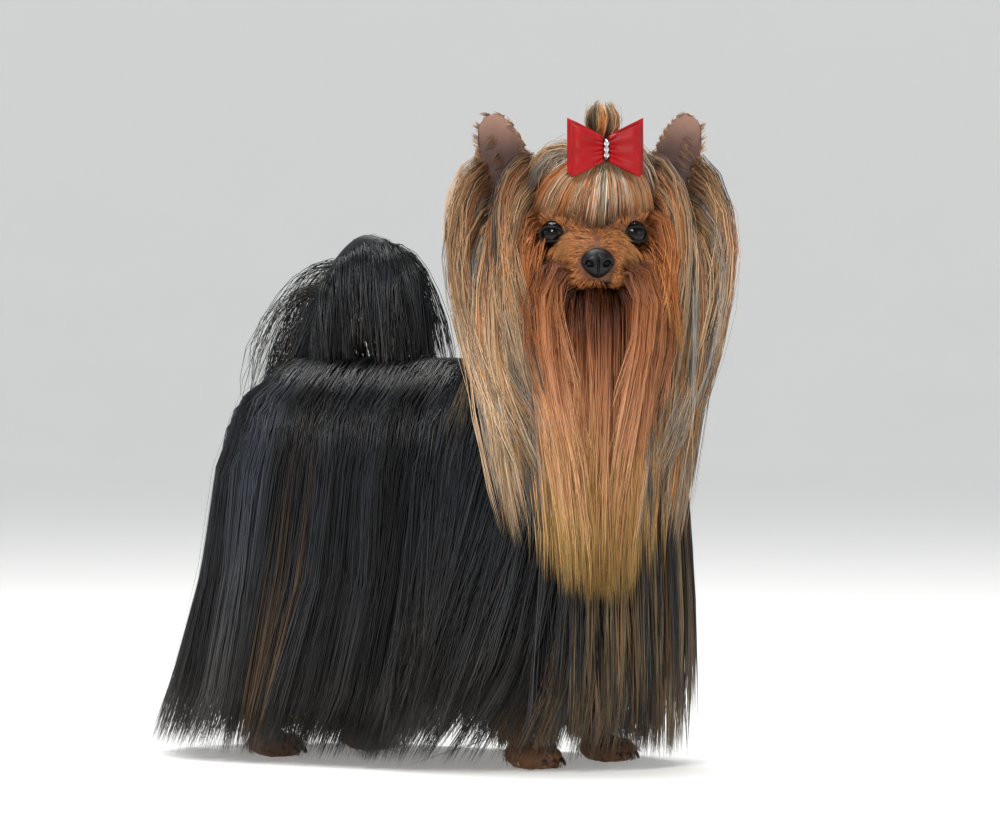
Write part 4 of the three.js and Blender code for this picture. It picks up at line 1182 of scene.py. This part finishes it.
def short_guides(roots, normals, way, length, rise=0.25, clear=0.45, points=4):
    """A short hair: along the skin in its direction, standing off by rise x length x s and by clear, and curling back
    at its tip."""
    flat = unit(way - np.sum(way * normals, -1, keepdims=True) * normals)
    s = times(points)[None, :, None]
    length = length[:, None, None]
    high = rise * length * (s - 0.55 * s**2) + clear * ease(0, 0.35, s)
    return roots[:, None] - 0.3 * normals[:, None] + flat[:, None] * length * s + normals[:, None] * high


def face_density(at):
    """Full on the muzzle, brow and cheeks, and none on the eyes, the nose and below the jaw."""
    ahead, aside, up = np.moveaxis(in_head(at), -1, 0)
    eye = np.hypot((np.abs(aside) - 23) / 6.6, (up + 2) / 4.4)
    nose = np.linalg.norm(at - on_head(NOSE["ahead"] + 1, 0, NOSE["up"]), axis=-1)
    near = np.linalg.norm(at - HEAD_AT, axis=-1) < 75
    face = ease(-12, 5, ahead) * ease(-34, -26, up) * (up < brow(aside) + 1)
    return near * face * ((eye > 1) | (ahead < 18)) * (nose > 8.6) * (0.6 + ease(10, 30, ahead))


roots, normals = pick_roots(LOCKS["face"], face_density)
ahead, aside, up = np.moveaxis(in_head(roots), -1, 0)
side = np.sign(aside)
rising = ease(-3, 5, up)
sideways = side * (0.1 + 0.85 * ease(0, 14, np.abs(aside)))
down = head_way(-0.35 + 0 * side, sideways, -0.25 - 0.5 * ease(4, 22, np.abs(aside)))
upward = head_way(-0.5 + 0 * side, 0.35 * sideways, 1.0)
way = down * (1 - rising[:, None]) + upward * rising[:, None]
for each in SIDES:
    away = roots - on_head(28, each * 22.5, -2)
    way = unit(way) + unit(away) * 1.6 * ease(15, 8, np.linalg.norm(away, axis=1))[:, None]
from_nose = np.linalg.norm(roots - on_head(NOSE["ahead"], 0, NOSE["up"]), axis=1)
length = np.clip(2.5 + 0.3 * from_nose, 3.5, 12) * rng.uniform(0.8, 1.25, len(roots)) * (1 - 0.65 * rising)
guides = short_guides(roots, normals, unit(way), length, 0.2, 0.1)
# The pale share rises a little at the front of the muzzle and drops low on the muzzle towards the mouth, which is
# painted shade under the muzzle.
light = 0.4 + 0.1 * ease(30, 50, ahead) - 0.35 * ease(-20, -28, up)
face = locks(guides, normals, "tan", 4, 1.0, 0.3, (light, 0.07, 0.1), 0, lift=0.4, pinch=0.3, wave=0.5)
coat_piece("coat_short_face", face, "face")


def ear_hollow(at):
    """Full in the hollow of an ear: in front of the middle of its wall, away from its edges."""
    depth = np.zeros(len(at))
    for side in SIDES:
        rise, face, across, foot = ear_frame(side)
        away = at - foot
        level = (away @ rise) / (EAR["height"] + 8)
        half = EAR["half"] * (1.1 - 0.28 * level) * bulge(level, 3.4)
        share = (away @ across) / np.maximum(half, 1)
        front = away @ face - 7 * share**2 * bulge(level) * (1 - 0.4 * level)
        inside = (level > 0.05) & (level < 0.97) & (np.abs(share) < 1.05)
        depth = np.maximum(depth, inside * ease(-0.2, 0.6, front) * ease(0.95, 0.75, np.abs(share)))
    return depth


def ear_density(at):
    """The backs and edges of the two ears above their feet."""
    high = in_head(at)[..., 2] > EAR["up"] + 2
    near = [np.linalg.norm(at - on_ear(side, 0.5, 0.0, 0.0), axis=-1) < 36 for side in SIDES]
    return high * (near[0] | near[1]) * (np.abs(in_head(at)[..., 1]) > 13) * (1 - ear_hollow(at))


roots, normals = pick_roots(LOCKS["ears"], ear_density)
side = np.sign(in_head(roots)[:, 1])
rise = head_way(0, side * EAR["lean"], 0.92)
length = rng.uniform(2.5, 5.5, len(roots))
guides = short_guides(roots, normals, 0.5 * rise + head_way(-0.4, 0.8 * side, 0), length, 0.1)
inner = np.where(ear_hollow(roots) > 0.3, "ear", "ash")
ears = locks(guides, normals, list(inner), 4, 1.0, 0.28, (0.5, 0.15, 0.2), 0, lift=0.3, pinch=0.3, wave=0.3)


def paw_density(at):
    """The paws and the pasterns."""
    return (at[..., 2] < 34).astype(float)


roots, normals = pick_roots(LOCKS["paws"], paw_density)
guides = short_guides(roots, normals, np.repeat([[0.5, 0, -0.8]], len(roots), 0), rng.uniform(4, 8, len(roots)))
paws = locks(guides, normals, "leg", 4, 1.0, 0.42, (0.45, 0.15, 0.2), 0, lift=0.4, pinch=0.3, wave=0.3)
coat_piece("coat_short_ears", ears, "pale")
coat_piece("coat_short_paws", paws, "face")

# %% [markdown]
# ## Skin finish
# The skin carries the same markings as the coat, darker, and its bare places are the ear's hollow, the lids and lips.

# %% Skin finish


def skin_colours(at):
    """Steel on the trunk and tail, tan on the head, chest and legs, and dark where the skin is bare. The ear's hollow
    is pale high up and darker towards its foot, which is painted shade.
    """
    ahead, aside, up = np.moveaxis(in_head(at), -1, 0)
    on_the_head = ease(78, 66, np.linalg.norm(at - HEAD_AT, axis=-1))
    chest = ease(40, 70, at[:, 0]) * ease(60, 30, np.abs(at[:, 1]))
    low = ease(110, 80, at[:, 2])
    tan = np.clip(on_the_head + 0.5 * chest + low, 0, 1)[:, None]
    colour = paint("15161a") * (1 - tan) + paint("6b4020") * tan
    ear = ear_hollow(at)
    lip = ease(-25.5, -27.5, up) * ease(-33, -31.5, up) * ease(8, 20, ahead) * on_the_head
    # Painted shade: the ear's hollow is dark brown at its foot and pale pinkish brown high up.
    deep = ease(40, 62, up)[:, None]
    hollow = paint("4a2f28") * (1 - deep) + paint("94705f") * deep
    colour = colour * (1 - ear[:, None]) + hollow * ear[:, None]
    return colour * (1 - lip[:, None]) + paint("0c0808") * lip[:, None]


give(skin, "hair", skin_colours(points))


def skin_material():
    """Marking colour with pores, fine hair grain and folds, as bump and a change of roughness."""
    material, tree, shader = new_material("skin")
    hair = node(tree, "ShaderNodeAttribute", (-900, 100), attribute_name="hair")
    place = node(tree, "ShaderNodeTexCoord", (-1100, -200)).outputs["Object"]
    grain = node(tree, "ShaderNodeTexNoise", (-900, -200), Scale=900.0, Detail=4.0)
    mottle = node(tree, "ShaderNodeTexNoise", (-900, -450), Scale=120.0, Detail=3.0)
    level = span(tree, (-650, -350), 0.65, 1.25)
    tint = node(tree, "ShaderNodeVectorMath", (-450, 100), operation="SCALE")
    rough = span(tree, (-450, -100), 0.45, 0.7)
    bump = node(tree, "ShaderNodeBump", (-300, -300), Strength=0.5, Distance=0.0004)
    wire(
        tree,
        (place, grain.inputs["Vector"]), (place, mottle.inputs["Vector"]), (mottle, level.inputs[0]),
        (hair, tint.inputs[0]), (level, tint.inputs["Scale"]), (tint, shader["Base Color"]),
        (grain, rough.inputs[0]), (rough, shader["Roughness"]), (grain, bump.inputs["Height"]),
        (bump, shader["Normal"]),
    )
    return material


skin.data.materials.clear()
skin.data.materials.append(skin_material())
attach(skin, "root")
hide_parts("torso", "neck", "head", "ear_left", "ear_right", "tail", *LEGS)

# %% [markdown]
# ## Eyes, lids and nose
# The eyes are round and almost black, with a clear cornea that stands a little proud, so a lamp makes one sharp spark.
# The lids are dark rims round an almond opening. The nose is a wedge of pebbled leather with two comma nostrils.

# %% Plain finishes


def simple_material(name, colour, roughness, grain=600.0, mottle=0.6, bump=0.0, **sockets):
    """A Principled material with a fine noise in its roughness and bump, and fixed values on its own sockets."""
    material, tree, shader = new_material(name)
    place = node(tree, "ShaderNodeTexCoord", (-900, 0)).outputs["Object"]
    noise = node(tree, "ShaderNodeTexNoise", (-700, 0), Scale=grain, Detail=3.0)
    level = span(tree, (-450, 0), 0.7 * roughness, 1.3 * roughness)
    dark = colour * mottle
    tint = node(tree, "ShaderNodeMixRGB", (-300, 200), Color1=(*colour, 1), Color2=(*dark, 1))
    wire(
        tree,
        (place, noise.inputs["Vector"]), (noise, level.inputs[0]), (noise, tint.inputs[0]),
        (tint, shader["Base Color"]), (level, shader["Roughness"]),
    )
    if bump:
        relief = node(tree, "ShaderNodeBump", (-300, -250), Strength=0.6, Distance=bump)
        wire(tree, (noise, relief.inputs["Height"]), (relief, shader["Normal"]))
    for socket, value in sockets.items():
        shader[socket.replace("_", " ")].default_value = value
    return material


# %% Eyes and lids
LID_GRID = (72, 14)


def eye_form(side):
    """A ball whose radius grows by up to 6 % within 35 degrees of the gaze, as the cornea stands out."""

    def place(t, angle):
        polar = math.pi * t
        radius = EYE["radius"] * (1 + 0.06 * ease(0.62, 0.05, polar))
        return eye_centre(side) + on_ball(side, radius, polar, angle)

    return closed_form(place, 48, 40)


def lid_form(side):
    """A ring round the almond opening, whose section is an oval that lies on the ball."""
    turn, section = (np.arange(steps) / steps * FULL_TURN for steps in LID_GRID)
    turn, section = np.meshgrid(turn, section, indexing="ij")
    polar = almond(turn) + np.radians(4) + np.radians(5) * np.cos(section)
    ring = on_ball(side, EYE["radius"] + 0.3 + 0.7 * np.sin(section), polar, turn)
    return (eye_centre(side) + ring).reshape(-1, 3), halved(cells(*LID_GRID, (True, True)))


EYE_FINISH = simple_material("eye_dark", paint("0a0504"), 0.05, Specular_IOR_Level=0.28, grain=300.0)
LID_FINISH = simple_material("lid_rim", paint("140c08"), 0.65, Specular_IOR_Level=0.3, bump=0.0001)
for side, word in WORDS.items():
    ball = new_piece("eye_ball_" + word, *eye_form(side))
    ball.data.materials.append(EYE_FINISH)
    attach(ball, "root")
    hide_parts("eye_" + word)
    rim = new_piece("eye_rim_" + word, *lid_form(side))
    rim.data.materials.append(LID_FINISH)
    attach(rim, "root")

# %% Nose


def nose_form():
    """A wedge, narrower below, whose front is pressed in by two comma nostrils and the groove between them."""
    middle = on_head(NOSE["ahead"], 0, NOSE["up"])

    def place(t, angle):
        open_ = np.clip(np.sin(math.pi * t), 0, 1) ** 0.8
        narrow = 1 - 0.3 * np.clip(-np.sin(angle), 0, None)
        aside = NOSE["half"] * open_ * narrow * np.cos(angle)
        up = NOSE["high"] * open_ * np.sin(angle)
        ahead = NOSE["deep"] * np.cos(math.pi * t)
        front = ease(-1, 2, ahead)
        curl = ((np.abs(aside) - 4.6) / 2.1) ** 2 + ((up + 0.4 - 0.25 * (np.abs(aside) - 4)) / 1.5) ** 2
        slit = ((np.abs(aside) - 7.0) / 1.8) ** 2 + ((up + 1.6) / 0.8) ** 2
        groove = (aside / 0.6) ** 2 + (np.clip(up - 1, 0, None) / 2.5) ** 2
        dent = 3.4 * np.exp(-(curl**2)) + 1.6 * np.exp(-slit) + 1.0 * np.exp(-groove)
        swell = 0.5 * np.exp(-(((np.abs(aside) - 5) / 3.2) ** 2) - ((up - 1.5) / 3.5) ** 2)
        return middle + head_way(ahead - front * (dent - swell), aside, up)

    return closed_form(place, 160, 110)


nose = new_piece("nose_leather", *nose_form())


def nose_material():
    """Black leather: rounded pebbles from Voronoi cells, with a moist, uneven gloss."""
    material = simple_material("nose_leather", paint("070607"), 0.42, Coat_Weight=0.05, Specular_IOR_Level=0.3)
    tree = material.node_tree
    pebbles = node(tree, "ShaderNodeTexVoronoi", (-700, -400), Scale=1500.0)
    bump = node(tree, "ShaderNodeBump", (-300, -400), Strength=0.6, Distance=0.0002, invert=True)
    place = node(tree, "ShaderNodeTexCoord", (-900, -400)).outputs["Object"]
    wire(
        tree,
        (place, pebbles.inputs["Vector"]), (pebbles.outputs["Distance"], bump.inputs["Height"]),
        (bump, tree.nodes["Principled BSDF"].inputs["Normal"]),
    )
    return material


nose.data.materials.append(nose_material())
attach(nose, "root")
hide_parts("nose")

# %% Claws


def claw_forms():
    """A small curved cone at the front of every toe."""
    forms = []
    for side, _, _, _, foot in LEGS.values():
        for across, ahead in TOES:
            base = np.array([foot[0] + ahead + 1, side * foot[1] + 8.6 * across, 5.5])
            knots = [base, base + [3, 0, -0.6], base + [5, 0, -3.6]]
            forms.append(tube(knots, lambda t: [(1.3 - 1.1 * t) * bulge(t, 6)] * 2, 10, 8, np.array([0, 1.0, 0])))
    return forms


claws = new_piece("claws", *merged(claw_forms()))
claws.data.materials.append(simple_material("claw_horn", paint("1a1512"), 0.35))
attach(claws, "root")

# %% [markdown]
# ## The bow
# Two satin loops on each side, a broad one over a slightly wider one, are pinched by a band of small stones. A loop is
# a strip of ribbon carried round a flattened curve, pleated where it is pinched, so its cross folds fade outwards.

# %% Bow
BOW = {"ahead": TIE["ahead"] + 13, "up": TIE["up"] + 3, "reach": 20.0, "height": 31.0}


def on_bow(ahead, aside, up):
    """A point measured from the middle of the bow."""
    return on_head(BOW["ahead"] + ahead, TIE["aside"] + 1 + aside, BOW["up"] + up)


def loop_form(side, reach, height, back, depth, folds, raised):
    """Ribbon strip: t goes out and back round the loop, and v across the ribbon. It is low at the pinch and full
    height outside, with folds that die away with the distance from the pinch."""
    rows, cols = 90, 25
    t, v = np.meshgrid(np.linspace(0, 1, rows), np.linspace(-1, 1, cols), indexing="ij")
    out = 1.6 + (reach - 1.6) * np.clip(np.sin(math.pi * t), 0, 1) ** 0.8
    bow = depth * np.sin(FULL_TURN * t) * (0.45 + 0.55 * np.sin(math.pi * t))
    half = (0.36 + 0.64 * np.clip(out / reach, 0, 1) ** 0.8) * height / 2
    fold = 1.5 * np.exp(-out / 10) * np.sin(folds * math.pi * v + side + back) * np.tanh(12 * (0.5 - t))
    ripple = 0.35 * np.sin(3.1 * v + 5 * t) * (out / reach)
    points = on_bow(back + bow - 0.12 * out + fold + ripple, side * out, raised * out / reach + v * half)
    return points.reshape(-1, 3), cells(rows, cols)


def satin_material():
    """Red satin: a weave of fine ribs across the ribbon, and clouds in its colour and gloss."""
    material, tree, shader = new_material("ribbon_satin")
    place = node(tree, "ShaderNodeTexCoord", (-1100, 0)).outputs["Object"]
    ribs = node(tree, "ShaderNodeTexWave", (-850, -100), Scale=700.0, Distortion=1.0, bands_direction="Z")
    cloud = node(tree, "ShaderNodeTexNoise", (-850, -400), Scale=80.0, Detail=3.0)
    reds = {"Color1": (*paint("7c0309"), 1), "Color2": (*paint("b4040d"), 1)}
    tint = node(tree, "ShaderNodeMixRGB", (-450, 200), **reds)
    rough = span(tree, (-450, -50), 0.35, 0.55)
    bump = node(tree, "ShaderNodeBump", (-300, -300), Strength=0.25, Distance=0.0002)
    wire(
        tree,
        (place, ribs.inputs["Vector"]), (place, cloud.inputs["Vector"]), (cloud, tint.inputs[0]),
        (cloud, rough.inputs[0]), (ribs.outputs["Fac"], bump.inputs["Height"]), (tint, shader["Base Color"]),
        (rough, shader["Roughness"]), (bump, shader["Normal"]),
    )
    shader["Specular IOR Level"].default_value = 0.25
    return material


SATIN = satin_material()
for side, word in WORDS.items():
    front = loop_form(side, BOW["reach"] - 1.8, BOW["height"] - 3, 1.6, 3.6, 3.0, -0.8)
    rear = loop_form(side, BOW["reach"], BOW["height"] - 1, -2.6, 2.6, 2.5, 1.6)
    ribbon = new_piece("bow_loops_" + word, *merged([front, rear]))
    wall = ribbon.modifiers.new("cloth", "SOLIDIFY")
    wall.thickness, wall.offset = 0.45 * MM, 0.0
    ribbon.data.materials.append(SATIN)
    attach(ribbon, "root")
    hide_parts("bow_" + word)

# %% Band and stones


def band_form():
    """A narrow rounded plate round the pinch."""

    def place(t, angle):
        open_ = np.clip(np.sin(math.pi * t), 0, 1) ** 0.5
        return on_bow(0.2 + 5.0 * open_ * np.cos(angle), 1.8 * open_ * np.sin(angle), 5.6 * np.cos(math.pi * t))

    return closed_form(place, 32, 24)


def stone_form(up):
    """A cut stone: a table, a ring of facets and a girdle, on eight sides."""
    angle = np.arange(8) / 8 * FULL_TURN
    rings = [(0.0, 1.45, 0.0), (0.5, 1.45, 0.2), (1.1, 0.8, 0.0)]
    rows = [
        on_bow(4.9 + ahead, size * np.cos(angle + twist), up + size * np.sin(angle + twist))
        for ahead, size, twist in rings
    ]
    points = np.concatenate([*rows, on_bow(6.0, 0, up)[None], on_bow(4.6, 0, up)[None]])
    s, n = np.arange(8), (np.arange(8) + 1) % 8
    faces = [np.stack([s + 8 * k, n + 8 * k, n + 8 * k + 8], -1) for k in range(2)]
    faces += [np.stack([s + 8 * k, n + 8 * k + 8, s + 8 * k + 8], -1) for k in range(2)]
    faces += [np.stack([s + 16, n + 16, np.full(8, 24)], -1), np.stack([n, s, np.full(8, 25)], -1)]
    return points, outward(points, np.concatenate(faces))


band = new_piece("bow_plate", *band_form())
band.data.materials.append(simple_material("band_metal", paint("c8c8cc"), 0.2, Metallic=1.0, grain=900.0, bump=0.0001))
stones = new_piece("bow_stones", *merged([stone_form(step * 3.1) for step in range(-1, 2)]), smooth=False)
stones.data.materials.append(simple_material("cut_stone", paint("f4f6fa"), 0.05, Metallic=0.85, grain=900.0))
for piece in (band, stones):
    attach(piece, "root")
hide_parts("bow_band")

# %% [markdown]
# ## Studio, light and camera
# A round pale floor that turns up into a low wall, so that every side has a plain ground behind it, a broad lamp
# overhead that puts a sheen on the back, a key lamp from the front and a weak fill. The camera stands four metres off
# to the animal's front right, low, with a long lens.

# %% Studio
FLOOR_FLAT, FLOOR_BEND, WALL_TOP, FLOOR_SIDES = 5500.0, 1500.0, 3500.0, 96


def studio_form():
    """A round floor that turns up into a low wall along a quarter circle, as one profile carried round the animal."""
    bend = np.linspace(0, math.pi / 2, 16)
    corner = np.stack([FLOOR_FLAT + FLOOR_BEND * np.sin(bend), FLOOR_BEND * (1 - np.cos(bend))], -1)
    profile = np.concatenate([[[1.0, 0.0]], corner, [[FLOOR_FLAT + FLOOR_BEND, WALL_TOP]]])
    out = compass(np.arange(FLOOR_SIDES) / FLOOR_SIDES * FULL_TURN)
    points = profile[:, None, :1] * out + profile[:, None, 1:] * UP
    return points.reshape(-1, 3), cells(len(profile), FLOOR_SIDES, (False, True))


CAMERA_TURN = math.radians(35)
CAMERA_FAR, CAMERA_HIGH, CAMERA_ASIDE = 4000.0, 280.0, 22.7
floor = new_piece("studio_floor", *studio_form())
PAPER = paint("e6e6e4")
floor.data.materials.append(simple_material("paper_sweep", PAPER, 0.8, grain=6.0, mottle=0.97, Emission_Strength=0.32))
paper = floor.data.materials[0].node_tree.nodes["Principled BSDF"]
paper.inputs["Emission Color"].default_value = (*PAPER, 1)
floor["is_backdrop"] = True

toward = np.array([math.sin(CAMERA_TURN), -math.cos(CAMERA_TURN), 0])
right = np.array([math.cos(CAMERA_TURN), math.sin(CAMERA_TURN), 0])
eye_point = right * CAMERA_ASIDE + toward * CAMERA_FAR + UP * CAMERA_HIGH
camera = bpy.data.objects.new("camera", bpy.data.cameras.new("camera"))
bpy.context.scene.collection.objects.link(camera)
camera.location = (eye_point + SHIFT) * MM
FOCAL_PIXELS, PICTURE_WIDE, HORIZON_ROW, MIDDLE_ROW = 7407.0, 1000.0, 242.0, 416.0
camera.data.sensor_width = 36.0
camera.data.lens = FOCAL_PIXELS * 36.0 / PICTURE_WIDE
tilt = math.atan((MIDDLE_ROW - HORIZON_ROW) / FOCAL_PIXELS)
camera.rotation_euler = (math.pi / 2 - tilt, 0, CAMERA_TURN)
camera.data.clip_end = 50
bpy.context.scene.camera = camera

# Each lamp: far along the camera's right, towards the camera and up, in metres, its size, power and colour.
LAMPS = [
    ("overhead", (-0.2, -0.6, 2.4), 1.5, 62, (1.0, 0.99, 0.97)),
    ("key", (-0.5, 2.0, 1.9), 0.7, 44, (1.0, 0.97, 0.93)),
    ("fill", (2.0, 1.6, 1.0), 1.6, 9, (0.94, 0.97, 1.0)),
]
for name, place, size, power, tone in LAMPS:
    lamp = bpy.data.objects.new(name, bpy.data.lights.new(name, "AREA"))
    bpy.context.scene.collection.objects.link(lamp)
    lamp.data.size, lamp.data.energy, lamp.data.color = size, power, tone
    lamp.location = Vector(right * place[0] + toward * place[1] + UP * place[2])
    aim = Vector((0, 0, 0.2)) - lamp.location
    lamp.rotation_euler = aim.to_track_quat("-Z", "Y").to_euler()
world = bpy.data.worlds.new("studio_air")
world.use_nodes = True
world.node_tree.nodes["Background"].inputs["Color"].default_value = (0.85, 0.9, 1.0, 1)
world.node_tree.nodes["Background"].inputs["Strength"].default_value = 0.28
bpy.context.scene.world = world
bpy.context.scene.view_settings.view_transform = "Standard"

# %% Sizes and finish
visual_box = np.array([list(corner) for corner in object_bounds()])
below, above = cad_box[0] - visual_box[0], visual_box[1] - cad_box[1]
print("beyond the packed box in mm:", (below / MM).round(1), (above / MM).round(1))
